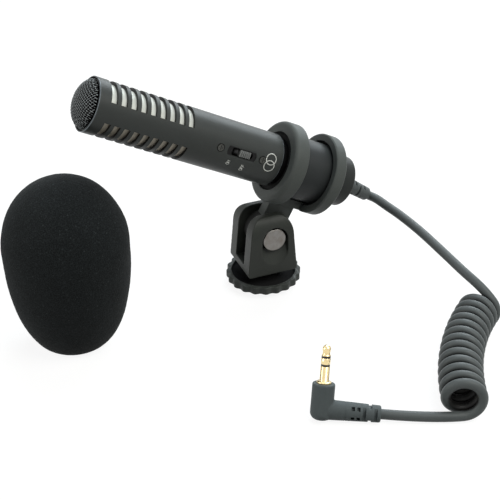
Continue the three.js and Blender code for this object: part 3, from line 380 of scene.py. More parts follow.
def revolved(profile, steps):
    """Points and faces of a profile of radius and height, turned about Z.

    The profile ends on the axis or closes on itself.
    """
    points, faces, rings = [], [], []
    for radius, height in profile:
        start = len(points)
        if radius == 0:
            points.append(Vector((0, 0, height)))
            rings.append([start] * steps)
            continue
        rings.append([start + i for i in range(steps)])
        points += [Vector((*polar(radius, math.tau * i / steps), height)) for i in range(steps)]
    if profile[0][0] and profile[-1][0]:
        rings.append(rings[0])
    for first, second in zip(rings, rings[1:]):
        for i in range(steps):
            j = (i + 1) % steps
            face = tuple(dict.fromkeys((first[i], first[j], second[j], second[i])))
            if len(face) > 2:
                faces.append(face)
    return points, faces


def box(low, high):
    """Points and faces of a block between two corners."""
    points = [
        Vector((x, y, z)) for x in (low[0], high[0]) for y in (low[1], high[1])
        for z in (low[2], high[2])
    ]
    return points, [
        (0, 1, 3, 2), (4, 6, 7, 5), (0, 4, 5, 1), (2, 3, 7, 6), (0, 2, 6, 4), (1, 5, 7, 3)
    ]


def moved(shape, place):
    return [place @ Vector(p) for p in shape[0]], shape[1]


def carved(body, tools, operation="DIFFERENCE", voxel=0, soften=0, rounding=0):
    """A body with every tool cut from it, joined to it or kept in common with it.

    A voxel size melts it into one even skin, after its edges are rounded and before it is softened.
    """
    things = []
    for points, faces in (body, *tools):
        things.append(bpy.data.objects.new("shape", sound_mesh("shape", points, faces)))
        bpy.context.scene.collection.objects.link(things[-1])
    for tool in things[1:]:
        step = things[0].modifiers.new("step", "BOOLEAN")
        step.object, step.operation, step.solver = tool, operation, "EXACT"
    if rounding:
        edge = things[0].modifiers.new("edge", "BEVEL")
        edge.width, edge.segments, edge.angle_limit = rounding, 3, math.radians(30)
    if voxel:
        melt = things[0].modifiers.new("melt", "REMESH")
        melt.mode, melt.voxel_size = "VOXEL", voxel
        calm = things[0].modifiers.new("calm", "SMOOTH")
        calm.factor, calm.iterations = 0.5, soften
    made = things[0].evaluated_get(bpy.context.evaluated_depsgraph_get()).to_mesh()
    result = [v.co.copy() for v in made.vertices], [tuple(f.vertices) for f in made.polygons]
    for thing in things:
        bpy.data.objects.remove(thing)
    return result


def soften_edges(made, width):
    """Rounds the edges of a moulded or turned piece and keeps its flat faces flat."""
    edge = made.modifiers.new("edge", "BEVEL")
    edge.width, edge.segments, edge.angle_limit = width, 2, math.radians(32)
    edge.use_clamp_overlap = True
    flat = made.modifiers.new("flat", "WEIGHTED_NORMAL")
    flat.keep_sharp = False


def quarter(radius, middle_radius, middle_height, start, steps=5):
    """Profile points of a rounded edge: a quarter turn back from an angle above the horizontal."""
    edge = (polar(radius, math.radians(start - 90 * i / steps)) for i in range(steps + 1))
    return [(middle_radius + x, middle_height + y) for x, y in edge]


def cross_slots(places, width, core, reach):
    """Blocks that cut a round sleeve in pairs, on its sides and then above and below."""
    tools = []
    for i, place in enumerate(places):
        for side in (-1, 1):
            near, far = sorted((side * core, side * reach))
            low, high = [-reach, near, place], [reach, far, place + width]
            if i % 2:
                low, high = [near, -reach, place], [far, reach, place + width]
            tools.append(box(low, high))
    return tools


gland_foot = 0.00335
gland_edge = 0.0006
gland_mouth = cord_radius + 0.0001
gland_profile = [
    (0, -gland_edge), (gland_foot, -gland_edge), (gland_foot, 0.0012), (0.00307, 0.0105),
    *reversed(quarter(gland_edge, 0.00235, gland_length - gland_edge, 90)),
    (gland_mouth, gland_length), (gland_mouth, gland_length - gland_edge),
    (0, gland_length - gland_edge)
]
gland_slot_pitch = 0.0026
gland_slot = 0.0009
gland_core = 0.00185
past_gland = 0.005
gland_places = [0.0064 + gland_slot_pitch * i for i in range(3)]
gland_slots = cross_slots(gland_places, gland_slot, gland_core, past_gland)
gland = piece(
    "gland", *carved(revolved(gland_profile, 48), gland_slots), "microphone", "cord_jacket", jacket,
    ("cord_gland",), gland_place
)
soften_edges(gland, 0.00012)

plug_body_radius = 0.0043
plug_body_height = 0.0097
arm_root_radius = 0.0039
arm_tip_radius = 0.0032
heel_round = 0.0028
plug_edge = 0.0004
arm_edge = 0.0005
upright = revolved(
    [
        (0, 0), (plug_body_radius, 0),
        *reversed(
            quarter(plug_edge, plug_body_radius - plug_edge, plug_body_height - plug_edge, 90, 3)
        ), (0, plug_body_height)
    ], 48
)
heel = [
    (0, 0.001), (plug_body_radius, 0.001),
    *quarter(heel_round, plug_body_radius - heel_round, heel_round - plug_body_radius, 0, 8),
    (0, -plug_body_radius)
]
arm = revolved(
    [
        (0, 0), (arm_root_radius, 0),
        *reversed(quarter(arm_edge, arm_tip_radius - arm_edge, arm_length - arm_edge, 90, 3)),
        (0, arm_length)
    ], 48
)
lengthwise = shifted(0, 0, -arm_drop) @ spun(90, "Y")
plug_voxel = 0.00026
moulding = carved(upright, [revolved(heel, 48), moved(arm, lengthwise)], "UNION", plug_voxel, 4)
arm_pitch = 0.00212
arm_places = [0.01083 + arm_pitch * i for i in range(5)]
arm_slot = 0.00125
arm_core = arm_tip_radius - 0.001
pocket_half = 0.0008
past_plug = 0.006
seam_floor = 0.0035
seam_foot = 0.0086
seam_top = 0.00885
pockets = []
for place in arm_places[:2]:
    for turn in (57, 123, 237, 303):
        pocket = box((arm_core, -pocket_half, place), (0.005, pocket_half, place + arm_slot))
        pockets.append(moved(pocket, spun(turn, "Z")))
seam = revolved(
    [
        (seam_floor, seam_foot), (past_plug, seam_foot), (past_plug, seam_top),
        (seam_floor, seam_top)
    ], 48
)
arm_cuts = pockets + cross_slots(arm_places[2:], arm_slot, arm_core, past_plug) + [seam]
plug_grey = finish(
    "plug_moulding", srgb(75, 82, 84), srgb(96, 103, 105), 1800.0, 0.00006, 0.62, 120.0,
    Specular_IOR_Level=0.2
)
plug = piece(
    "plug", *carved(moulding, [moved(cut, lengthwise) for cut in arm_cuts]), "mount",
    "plug_moulding", plug_grey, ("plug_housing",), plug_place, smooth=50
)


def plated(name, dark, light, rough, metallic=1.0, stretch=(1.0, 1.0, 1.0)):
    """Plated or bare metal: fine turning marks and a haze that follows the handling."""
    material, shader, wire, place = blank(name)
    haze = wire.noise(place, 300.0, 3.0, 0.6)
    marks = wire.noise(wire.add("Mapping", None, {"Vector": place, "Scale": stretch}), 400.0)
    (haze * 0.7 + marks * 0.3).clamp().tint(dark, light).to(shader, "Base Color")
    (haze * 0.14 + marks * 0.1 + (rough - 0.12)).clamp(0.05, 1.0).to(shader, "Roughness")
    marks.bump(0.35, 0.00002).to(shader, "Normal")
    shader.inputs["Metallic"].default_value = metallic
    return material


gold = plated("pin_gold", srgb(222, 196, 140), srgb(250, 232, 186), 0.2, stretch=(1.0, 1.0, 6.0))
black_nylon_and_shade = finish(
    "pin_insulator", srgb(14, 14, 15), srgb(26, 26, 27), 3000.0, 0.00001, 0.35, 500.0,
    Specular_IOR_Level=0.5
)
pin_radius = 0.00175
shoulder = plug_body_height + 0.0003
sleeve_top = shoulder + 0.0007 + 0.0055
pin_gap = 0.0002
insulator = 0.00035 + 2 * pin_gap
ring_foot = sleeve_top + insulator
ring_top = ring_foot + 0.0024
tip_foot = ring_top + insulator
tip_length = 0.0042
edge = 0.00008


def pin_part(name, profile, material, slot, nodes):
    return piece(
        name, *revolved(profile, 48), "mount", slot, material, nodes, plug_place, smooth=50
    )


flange_radius = 0.00275
flange_foot = shoulder - 0.0003
flange_top = shoulder + 0.0004
sleeve_profile = [
    (0, flange_foot), (flange_radius - edge, flange_foot), (flange_radius, flange_foot + edge),
    (flange_radius, flange_top - edge), (flange_radius - edge, flange_top),
    (pin_radius + edge, flange_top), (pin_radius, flange_top + edge),
    (pin_radius, sleeve_top - edge), (pin_radius - edge, sleeve_top), (0, sleeve_top)
]
ring_profile = [
    (0, ring_foot), (pin_radius - edge, ring_foot), (pin_radius, ring_foot + edge),
    (pin_radius, ring_top - edge), (pin_radius - edge, ring_top), (0, ring_top)
]
# The tip's outline, as shares of the pin's radius and the tip's length
tip_shape = (
    (0.9, 0), (0.96, 0.02), (0.96, 0.06), (0.88, 0.1), (0.8, 0.15), (0.78, 0.24), (0.8, 0.36),
    (0.85, 0.48), (0.89, 0.58), (0.9, 0.66), (0.87, 0.74), (0.76, 0.83), (0.58, 0.91), (0.38, 0.97)
)
tip_profile = [(0, tip_foot), *((pin_radius * r, tip_foot + tip_length * h) for r, h in tip_shape)]
tip_profile += [(pin_radius * 0.22, tip_foot + tip_length), (0, tip_foot + tip_length)]
pin = [
    pin_part("pin_sleeve", sleeve_profile, gold, "pin_gold", ("plug_sleeve",)),
    pin_part("pin_ring", ring_profile, gold, "pin_gold", ("plug_ring",)),
    pin_part("pin_tip", tip_profile, gold, "pin_gold", ("plug_tip",))
]
washer_radius = pin_radius - 0.00006
for side, foot, top in (("rear", sleeve_top, ring_foot), ("front", ring_top, tip_foot)):
    washer = [(0, foot), (washer_radius, foot), (washer_radius, top), (0, top)]
    node = "plug_insulator_" + side
    pin.append(pin_part("pin_insulator_" + side, washer, black_nylon_and_shade, "pin_insulator", (node,)))


# Windscreen: one block of open-cell foam, ground to an egg, with a blind bore for the microphone.
# It is taken off and stands on its open end beside the microphone.
egg_place = shifted(0.0098, -0.0876, 0)
egg_radius = 0.025
egg_height = 0.0733
egg_widest = 0.0445
egg_neck = 0.0119
egg_bore = 0.0103
egg_bore_depth = 0.056
egg_steps = 240
egg_profile = []
for i in range(1, 91):
    share = i / 90
    swell = (1 - (1 - share) ** 2.3) ** 0.62
    egg_profile.append((egg_neck + (egg_radius - egg_neck) * swell, egg_widest * share))
for i in range(1, 60):
    radius, rise = polar(1, math.pi / 2 * i / 60)
    egg_profile.append((egg_radius * radius, egg_widest + (egg_height - egg_widest) * rise))
bore_mouth = 0.0012
bore_straight = 0.0449
bore_profile = [(egg_bore, bore_mouth + bore_straight * i / 20) for i in range(20)]
for i in range(12):
    radius, rise = polar(egg_bore, math.pi / 2 * i / 12)
    bore_profile.append((radius, egg_bore_depth - egg_bore + rise))
egg_points, egg_faces = revolved(
    [
        (0, egg_bore_depth), *reversed(bore_profile), (egg_bore + 0.0004, 0.0003),
        (egg_neck - 0.0003, 0.0002), *egg_profile, (0, egg_height)
    ], egg_steps
)
# The foam's skin is uneven, in long waves and in short ones
for point in egg_points:
    outward = Vector((point.x, point.y, (point.z - egg_widest) * 0.6))
    if point.z > 0.0015 and outward.length > 0.004:
        point += outward.normalized() * (
            noise.noise(point * 90) * 0.0002 + noise.noise(point * 900) * 0.00008
        )
foam, shader, wire, place = blank("windscreen_foam")


def pores(scale):
    sockets = {"Vector": place, "Scale": scale, "Randomness": 1.0}
    return wire.add("TexVoronoi", {"feature": "F1"}, sockets)


fibre = wire.noise(place, 2600.0, 2.0, 0.6)
patch = wire.noise(place, 120.0, 4.0, 0.6)
pore = (pores(2300.0) * 0.9 + fibre * 1.1 - 0.62).clamp()
glint = ((0.16 - pores(420.0)) * 14.0).clamp() * 0.7
foam_tone = (pore * 0.8 + patch * 0.2 + glint).clamp()
foam_tone.tint(srgb(10, 12, 13), srgb(50, 54, 56)).to(shader, "Base Color")
pore.bump(0.7, 0.0001).to(shader, "Normal")
for socket, value in (
    ("Roughness", 0.95), ("Specular IOR Level", 0.1), ("Sheen Weight", 0.04),
    ("Sheen Roughness", 0.5)
):
    shader.inputs[socket].default_value = value
egg = piece(
    "windscreen_foam", egg_points, egg_faces, "mount", "windscreen_foam", foam, ("windscreen",),
    egg_place, smooth=0
)


# Shoe foot, stud and pressure plate: the plate that slides into the camera's shoe, the plated stud
# that stands in it, and the nylon plate that presses on the shoe. They keep their solids.
def dressed(material, *nodes, width=0.00015):
    """Gives pieces that keep their solids a material and rounded edges, on joined corners."""
    for node in nodes:
        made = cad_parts[node]
        made.data.materials.clear()
        made.data.materials.append(material)
        join = made.modifiers.new("join", "WELD")
        join.merge_threshold = 0.00001
        flat = made.modifiers.new("flat", "DECIMATE")
        flat.decimate_type, flat.angle_limit = "DISSOLVE", math.radians(1)
        soften_edges(made, width)


steel_warm = plated("bolt_steel", srgb(86, 74, 62), srgb(146, 147, 146), 0.36, 0.9)
clevis_black = finish(
    "clevis_plastic", srgb(42, 45, 42), srgb(58, 61, 57), 2200.0, 0.00006, 0.45, 100.0,
    Specular_IOR_Level=0.22
)
nylon = finish(
    "washer_nylon", srgb(196, 191, 178), srgb(220, 216, 204), 1500.0, 0.00003, 0.5, 200.0,
    Subsurface_Weight=0.1
)
dressed(clevis_black, "shoe_foot", width=0.0003)
dressed(steel_warm, "shoe_stud", "pivot_nut")
dressed(nylon, "pressure_plate", "friction_washer_near", "friction_washer_far", width=0.0001)


# Lock wheel: a moulded wheel with twenty shallow scallops and a dished top round a hub.
# It screws down the stud until the pressure plate grips the shoe.
wheel_radius = 0.0163
wheel_foot = 0.00245
wheel_top = wheel_foot + 0.0034
scallops = 20
scallop_depth = 0.0009
wheel_steps = scallops * 12
dish_radius = 0.0139
dish_depth = 0.0016
wheel_hub = 0.0076
wheel_bore = 0.0058
recess_radius = 0.0118
recess_top = 0.0034
wheel_edge = 0.0005
wheel_side = wheel_radius - wheel_edge
dish_floor = wheel_top - dish_depth
rim = [
    (wheel_side, wheel_foot),
    *reversed(quarter(wheel_edge, wheel_side, wheel_foot + wheel_edge, 0, 3)),
    *reversed(quarter(wheel_edge, wheel_side, wheel_top - wheel_edge, 90, 3))
]
rings = [
    *rim, (dish_radius + 0.0003, wheel_top), (dish_radius, wheel_top - 0.0003),
    (dish_radius - 0.0001, dish_floor + 0.0004), (dish_radius - 0.0005, dish_floor),
    (wheel_hub + 0.0003, dish_floor), (wheel_hub, dish_floor + 0.0003),
    (wheel_hub, wheel_top - 0.0003), (wheel_hub - 0.0003, wheel_top),
    (wheel_bore + 0.0002, wheel_top), (wheel_bore, wheel_top - 0.0002), (wheel_bore, recess_top),
    (recess_radius, recess_top), (recess_radius, wheel_foot)
]
wheel_points, wheel_faces = revolved(rings, wheel_steps)
for point in wheel_points:
    reach = math.hypot(point.x, point.y)
    if reach > dish_radius:
        angle = math.atan2(point.y, point.x)
        share = (reach - dish_radius) / (wheel_radius - dish_radius)
        squeeze = 1 - share * scallop_depth * (1 - math.cos(scallops * angle)) / 2 / reach
        point.x *= squeeze
        point.y *= squeeze
# Within the dish's radius the rim's tone turns near black (10, 10, 11), and the dish's faces take
# their own darker, duller material: painted shade in the dish.
wheel_black = finish(
    "wheel_plastic", srgb(52, 55, 53), srgb(68, 72, 70), 2200.0, 0.00006, 0.5, 150.0,
    (from_line((0, 0, 0), (0, 0, 1)), srgb(10, 10, 11), dish_radius, dish_radius + 0.0001),
    Specular_IOR_Level=0.2
)
dish_shade = finish(
    "wheel_dish", srgb(27, 27, 28), srgb(37, 37, 38), 2200.0, 0.00006, 0.9, 150.0,
    Specular_IOR_Level=0.04
)
wheel = piece(
    "wheel", wheel_points, wheel_faces, "wheel", "clevis_plastic", wheel_black, ("lock_wheel",),
    smooth=50
)
wheel.data.materials.append(dish_shade)
for face in wheel.data.polygons:
    face.material_index = int(math.hypot(face.center.x, face.center.y) < dish_radius)


# Clevis: glass-filled nylon, two ears with rounded shoulders on a square base. The near ear is
# scooped out below the bolt's head, so that a fingertip can reach it.
def prism(outline, low, high):
    """Points and faces of an outline in X and Y, drawn up Z from one height to another."""
    count = len(outline)
    points = [Vector((x, y, z)) for z in (low, high) for x, y in outline]
    sides = [(i, (i + 1) % count, (i + 1) % count + count, i + count) for i in range(count)]
    return points, [tuple(reversed(range(count))), tuple(range(count, 2 * count)), *sides]


def prism_x(outline, low, high):
    """Points and faces of an outline in Y and Z, drawn along X."""
    points, faces = prism(outline, low, high)
    return [Vector((p.z, p.x, p.y)) for p in points], faces


def bent(start, control, end, steps):
    """A quadratic curve between two places in a plane, without its last point."""
    shares = [i / steps for i in range(steps)]
    return [
        tuple(
            (1 - s) ** 2 * a + 2 * s * (1 - s) * b + s * s * c
            for a, b, c in zip(start, control, end)
        ) for s in shares
    ]


def mirrored(half):
    """A closed outline from its right half, which is listed from the foot up."""
    return [*half, *((-x, y) for x, y in reversed(half))]


def rod_x(radius, low, high, sides):
    """Points and faces of a round or cornered rod along X."""
    return prism_x([polar(radius, math.tau * i / sides) for i in range(sides)], low, high)


clevis_foot = 0.00925
clevis_top = clevis_foot + 0.027
clevis_half_width = 0.0108
slot_half = 0.0046
foot_half = 0.0113
waist_half = 0.0099
shoulder = clevis_foot + 0.017
ear_bevel = 0.0085
foot_round = 0.0015
side_flat = 0.003
front_flat = 0.007
past_ears = 0.013
side_half = [
    *reversed(quarter(foot_round, foot_half - foot_round, clevis_foot + foot_round, 0, 5)),
    *bent((waist_half, shoulder), (waist_half - 0.0003, clevis_top), (side_flat, clevis_top), 18),
    (side_flat, clevis_top)
]
side_body = prism_x(mirrored(side_half), -past_ears, past_ears)
bevel_control = (clevis_half_width - 0.0002, clevis_top - 0.26 * ear_bevel)
front_half = [
    (clevis_half_width, clevis_foot),
    *bent((clevis_half_width, clevis_top - ear_bevel), bevel_control, (front_flat, clevis_top), 12),
    (front_flat, clevis_top)
]
front_points, front_faces = prism(mirrored(front_half), -0.014, 0.014)
front_body = [Vector((p.x, p.z, p.y)) for p in front_points], front_faces
head_across = 0.010
head_outer = clevis_half_width - 0.0007
head_seat = clevis_half_width - 0.0046
scoop_radius = 0.0059
scoop_drop = 0.0059
scoop_depth = 0.003
scoop_floor = clevis_half_width - scoop_depth
at_pivot = Matrix.Translation(pivot)


def scoop_outline(drop):
    """The scoop's outline at one depth: a half round that hangs below the bolt by a drop."""
    lower = [polar(scoop_radius, math.pi * i / 28) for i in range(29)]
    sides = [(x, -drop - 0.0001 - y) for x, y in lower]
    return [(scoop_radius, 0.0003), *sides, (-scoop_radius, 0.0003)]


scoop_faces = prism(scoop_outline(0), 0, 1)[1]
mouth_drop = scoop_drop / scoop_depth * (past_ears - scoop_floor)
scoop_points = [
    Vector((x, y, z)) for x, drop in ((scoop_floor, 0), (past_ears, mouth_drop))
    for y, z in scoop_outline(drop)
]
bolt_hole = 0.0033
hexagon = (head_across + 0.0006) / math.sqrt(3)
clevis_cuts = [
    box((-slot_half, -0.02, clevis_foot + 0.004), (slot_half, 0.02, 0.05)),
    moved(rod_x(bolt_hole, -0.02, 0.02, 40), at_pivot),
    moved((scoop_points, scoop_faces), at_pivot),
    moved(rod_x(scoop_radius, head_seat, past_ears, 64), at_pivot),
    moved(rod_x(hexagon, -past_ears, -0.006, 6), at_pivot)
]
clevis_blank = carved(side_body, [front_body], "INTERSECT")
clevis_shape = carved(clevis_blank, clevis_cuts, voxel=0.00021, soften=3, rounding=0.0005)
piece("clevis", *clevis_shape, "mount", "clevis_plastic", clevis_black, ("yoke",), smooth=0)


# Pivot bolt: a zinc-plated M6 bolt through both ears and the eye. Its low hexagon head is faced
# flat and turned down at its corners.
head_corner = head_across / math.sqrt(3)
head_round = head_corner - 0.00045
head_turning = revolved(
    [
        (0, head_seat), (head_round, head_seat), (head_round, head_outer - 0.0005),
        (head_round - 0.0001, head_outer - 0.0003),
        (head_across / 2 - 0.0001, head_outer - 0.00008), (head_across / 2 - 0.0003, head_outer),
        (0, head_outer)
    ], 72
)
head_blank = rod_x(head_corner, head_seat, head_outer, 6)
head_shape = carved(head_blank, [moved(head_turning, spun(90, "Y"))], "INTERSECT")
bolt_radius = 0.003
bolt_tip = clevis_half_width - 0.0004
bolt_shape = carved(head_shape, [rod_x(bolt_radius, -bolt_tip, head_seat + 0.001, 40)], "UNION")
bolt = piece(
    "bolt", *moved(bolt_shape, at_pivot), "mount", "bolt_steel", steel_warm, ("pivot_bolt",),
    smooth=0
)
soften_edges(bolt, 0.00022)


# Cradle: one moulding of two hoops, the spine under the microphone, the stem and the eye that the
# bolt holds. Its mould was spark-eroded, which leaves a fine matt grain.
hoop_radius = 0.0173
hoop_bore = 0.0152
front_face = 0.0122
front_length = 0.0067
rear_face = -0.0085
rear_length = 0.0053
lip = 0.0016
waist_radius = 0.013
front_lip_bore = 0.0125
rear_lip_bore = 0.0143
eye_radius = 0.0085
eye_half = 0.0037
spine_half = 0.0032
stem_half = 0.0025
front_end = front_face - front_length
rear_end = rear_face - rear_length
hoop_steps = 144
hoop_round = 0.0018
front_fillet = quarter(hoop_round, hoop_radius - hoop_round, front_face - hoop_round, 90, 10)
front_hoop = revolved(
    [
        (front_lip_bore + 0.0002, front_face), *front_fillet, (hoop_radius, front_end + 0.0004),
        (hoop_radius - 0.0004, front_end), (hoop_bore, front_end), (hoop_bore, front_face - lip),
        (front_lip_bore, front_face - lip), (front_lip_bore, front_face - 0.0002)
    ], hoop_steps
)
rear_hoop = revolved(
    [
        (rear_lip_bore, rear_face), (hoop_radius - 0.0005, rear_face),
        (hoop_radius, rear_face - 0.0005), (hoop_radius, rear_end + 0.0005),
        (hoop_radius - 0.0005, rear_end), (hoop_bore, rear_end), (hoop_bore, rear_face - lip),
        (rear_lip_bore, rear_face - lip)
    ], hoop_steps
)
along_axis = shifted(0, 0, axis_height) @ spun(90, "X")
spine_front = front_end + 0.0003
spine_rear = rear_face - lip / 2
spine = box(
    (-spine_half, -spine_front, axis_height - hoop_radius + 0.0005),
    (spine_half, -spine_rear, 0.0194)
)
room_radius = waist_radius + 0.0006
waist_room = revolved(
    [(0, -0.02), (room_radius, -0.02), (room_radius, 0.02), (0, 0.02)], hoop_steps
)
spine = carved(spine, [moved(waist_room, along_axis)])
stem = box((-stem_half, -0.006, 0), (stem_half, 0.0064, axis_height - hoop_radius + 0.0015))
eye = rod_x(eye_radius, -eye_half, eye_half, 72)
cradle_shape = carved(
    moved(front_hoop, along_axis), [moved(rear_hoop, along_axis), spine, stem, eye], "UNION"
)
cradle_shape = carved(cradle_shape, [rod_x(bolt_hole, -0.01, 0.01, 40)])
# Round the bolt, within the eye's radius, the grey turns near black (26, 27, 26): painted shade on
# the eye between the clevis's ears.
cradle_grey = finish(
    "cradle_plastic", srgb(73, 77, 76), srgb(94, 98, 96), 2000.0, 0.00007, 0.5, 90.0,
    (from_line(pivot, (1, 0, 0)), srgb(26, 27, 26), eye_radius, eye_radius + 0.0002),
    Specular_IOR_Level=0.17
)
cradle = piece(
    "cradle", *cradle_shape, "microphone", "cradle_plastic", cradle_grey, ("cradle_frame",),
    cradle_place, smooth=0
)
soften_edges(cradle, 0.0002)


# Isolators: two soft rubber rings that float the microphone's body inside the hoops. They are
# ribbed inside, and a thin lip of the front one shows round the body.
rubber = finish(
    "isolator_rubber", srgb(18, 19, 19), srgb(30, 31, 31), 1600.0, 0.00008, 0.8, 200.0,
    Specular_IOR_Level=0.15
)
rib_count = 3
rib_depth = 0.00025
isolator_bore = waist_radius + 0.00003
isolator_side = hoop_bore - 0.0003
waves = [rib_depth * (1 - math.cos(math.tau * rib_count * i / 18)) for i in range(19)]
for name, front, rear, node in (
    ("isolator_front", 0.0103, 0.0061, "front_isolator"),
    ("isolator_rear", -0.0104, -0.0135, "rear_isolator")
):
    ribs = [(isolator_bore + wave, front + (rear - front) * i / 18) for i, wave in enumerate(waves)]
    ring = [(isolator_side, rear), (isolator_side, front), *ribs]
    piece(
        name, *moved(revolved(ring, 96), along_axis), "microphone", "isolator_rubber", rubber,
        (node,), cradle_place, smooth=60
    )
lip_bore = 0.0096
lip_rear = 0.0104
lip_front = 0.0111
lip_profile = [
    (lip_bore, lip_rear), (waist_radius - 0.0003, lip_rear), (waist_radius - 0.0002, 0.0106),
    (waist_radius - 0.0005, lip_front), (lip_bore + 0.0002, lip_front),
    (lip_bore, lip_front - 0.0002)
]
piece(
    "isolator_lip", *moved(revolved(lip_profile, 96), along_axis), "microphone", "isolator_rubber",
    rubber, (), cradle_place, smooth=60
)


# Rear body and end cap: turned aluminium under the same charcoal paint as the barrel, drawn in
# darker tones than the barrel's as painted shade. The isolators grip the waist, the neck screws
# into the barrel, and the cap closes the battery's chamber.
def on_axis(name, shape, slot, material, nodes=(), smooth=40):
    """A piece of the microphone, drawn along its own axis."""
    return piece(name, *shape, "microphone", slot, material, nodes, barrel_place, smooth)


rear_edge = 0.0004
neck_radius = 0.0094
waist_front = 0.0103
waist_rear = -0.014
neck_front = 0.02
chamber_radius = 0.0082
body_profile = [
    (chamber_radius, waist_rear), (chamber_radius, neck_front), (neck_radius, neck_front),
    (neck_radius, waist_front),
    *quarter(rear_edge, waist_radius - rear_edge, waist_front - rear_edge, 90, 4),
    (waist_radius, waist_rear + 0.0002), (waist_radius - 0.0002, waist_rear)
]
axis_point = barrel_place @ Vector((0, 0, 0))
axis_way = (barrel_place.to_3x3() @ Vector((0, 0, 1))).normalized()
from_axis = from_line(axis_point, axis_way)
# The cap takes a darker copy of the barrel's charcoal: painted shade.
cap_paint_shaded = finish(
    "body_paint", srgb(35, 38, 37), srgb(49, 52, 51), 2600.0, 0.00003, 0.42, 70.0,
    Specular_IOR_Level=0.18
)
# The waist takes a darker copy of the barrel's charcoal, and within the waist's radius, on the neck
# and in the chamber, it turns near black (9, 9, 10): painted shade.
waist_paint_shaded = finish(
    "body_paint_front", srgb(38, 41, 42), srgb(54, 57, 58), 2600.0, 0.00003, 0.42, 70.0,
    (from_axis, srgb(9, 9, 10), waist_radius - 0.0003, waist_radius - 0.0002),
    Specular_IOR_Level=0.18
)
on_axis("rear_body", revolved(body_profile, 128), "cradle_plastic", waist_paint_shaded, ("rear_body",))
cap_radius = 0.01085
cap_front = -0.0143
cap_bore = 0.0079
cap_chamber = 0.0065
cap_edge = 0.0009
gland_seat = 0.00365
cap_profile = [
    (cap_chamber, cap_front + 0.004), (cap_bore, cap_front + 0.004), (cap_bore, cap_front),
    (cap_radius - 0.00015, cap_front), (cap_radius, cap_front - 0.00015),
    *quarter(cap_edge, cap_radius - cap_edge, cap_rear + cap_edge, 0, 6),
    (gland_seat + 0.0001, cap_rear), (gland_seat, cap_rear + 0.0001),
    (gland_seat, cap_rear + 0.0014), (cap_chamber, cap_rear + 0.0014)
]
on_axis("cap", revolved(cap_profile, 128), "cradle_plastic", cap_paint_shaded, ("end_cap",))


# Barrel: drawn aluminium tube, nine slots milled across its top and nine across its underside,
# painted charcoal. The window of the switch and its two screws are on the right.
barrel_radius = 0.011
bore_radius = 0.0097
mouth_radius = 0.0104
barrel_rear = 0.014
barrel_rim = 0.0981
mouth_floor = barrel_rim - 0.004
slot_width = 0.0026
slot_pitch = 0.0042
strip = 21.5
inner_strip = math.degrees(math.asin(barrel_radius * math.sin(math.radians(strip)) / bore_radius))
slot_count = 9
first_slot = barrel_rim - 0.0063 - slot_width / 2
slots = [first_slot - slot_pitch * i for i in reversed(range(slot_count))]
strip_cells = 12
row_pitch = 0.0035
arc_cells = 44
arc = (180 - 2 * strip) / arc_cells
inner_arc = (180 - 2 * inner_strip) / arc_cells
turns, inner_turns, milled = [], [], []
for half in (0, 180):
    for k in range(strip_cells):
        turns.append(half - strip + 2 * strip * k / strip_cells)
        inner_turns.append(half - inner_strip + 2 * inner_strip * k / strip_cells)
        milled.append(False)
    for k in range(arc_cells):
        turns.append(half + strip + arc * k)
        inner_turns.append(half + inner_strip + inner_arc * k)
        milled.append(True)
rows = [
    (barrel_rear, barrel_radius - 0.0004, bore_radius),
    (barrel_rear + 0.0004, barrel_radius, bore_radius)
]
rows += [(0.0142 + row_pitch * k, barrel_radius, bore_radius) for k in range(1, 12)]
for start in slots:
    rows += [(start, barrel_radius, bore_radius), (start + slot_width, barrel_radius, bore_radius)]
rows += [
    (mouth_floor, barrel_radius, bore_radius), (mouth_floor + 0.0001, barrel_radius, mouth_radius),
    (barrel_rim - 0.0002, barrel_radius, mouth_radius),
    (barrel_rim, barrel_radius - 0.0002, mouth_radius + 0.0001)
]
across = len(turns)
barrel_points = [
    Vector((*polar(radius, math.radians(turn)), station)) for station, outer, inner in rows
    for radius, angles in ((outer, turns), (inner, inner_turns)) for turn in angles
]


def open_cell(row, column):
    """Whether a slot is milled through this cell of the barrel's wall."""
    if not 0 <= row < len(rows) - 1:
        return False
    return milled[column % across] and any(abs(rows[row][0] - start) < 1e-7 for start in slots)


barrel_faces = []


def wall(*corners):
    """Adds a face between corners, each a row, a column and whether it lies inside the tube."""
    barrel_faces.append(
        tuple((2 * row + inner) * across + column % across for row, column, inner in corners)
    )


def edge_wall(row, column):
    """Adds a face through the tube's thickness, across the tube."""
    wall((row, column, 0), (row, column + 1, 0), (row, column + 1, 1), (row, column, 1))


for row in range(len(rows) - 1):
    for column in range(across):
        lower = open_cell(row, column)
        if open_cell(row, column - 1) != lower:
            wall((row, column, 0), (row + 1, column, 0), (row + 1, column, 1), (row, column, 1))
        if open_cell(row - 1, column) != lower:
            edge_wall(row, column)
        for side in () if lower else (0, 1):
            wall(
                (row, column, side), (row, column + 1, side), (row + 1, column + 1, side),
                (row + 1, column, side)
            )
for row in (0, len(rows) - 1):
    for column in range(across):
        edge_wall(row, column)


def stadium(length, width, steps=48):
    """An outline with round ends, its length along Y."""
    reach = (length - width) / 2
    ends = [polar(width / 2, math.tau * (i + 0.5) / steps) for i in range(steps)]
    return [(x, math.copysign(reach, y) + y) for x, y in ends]


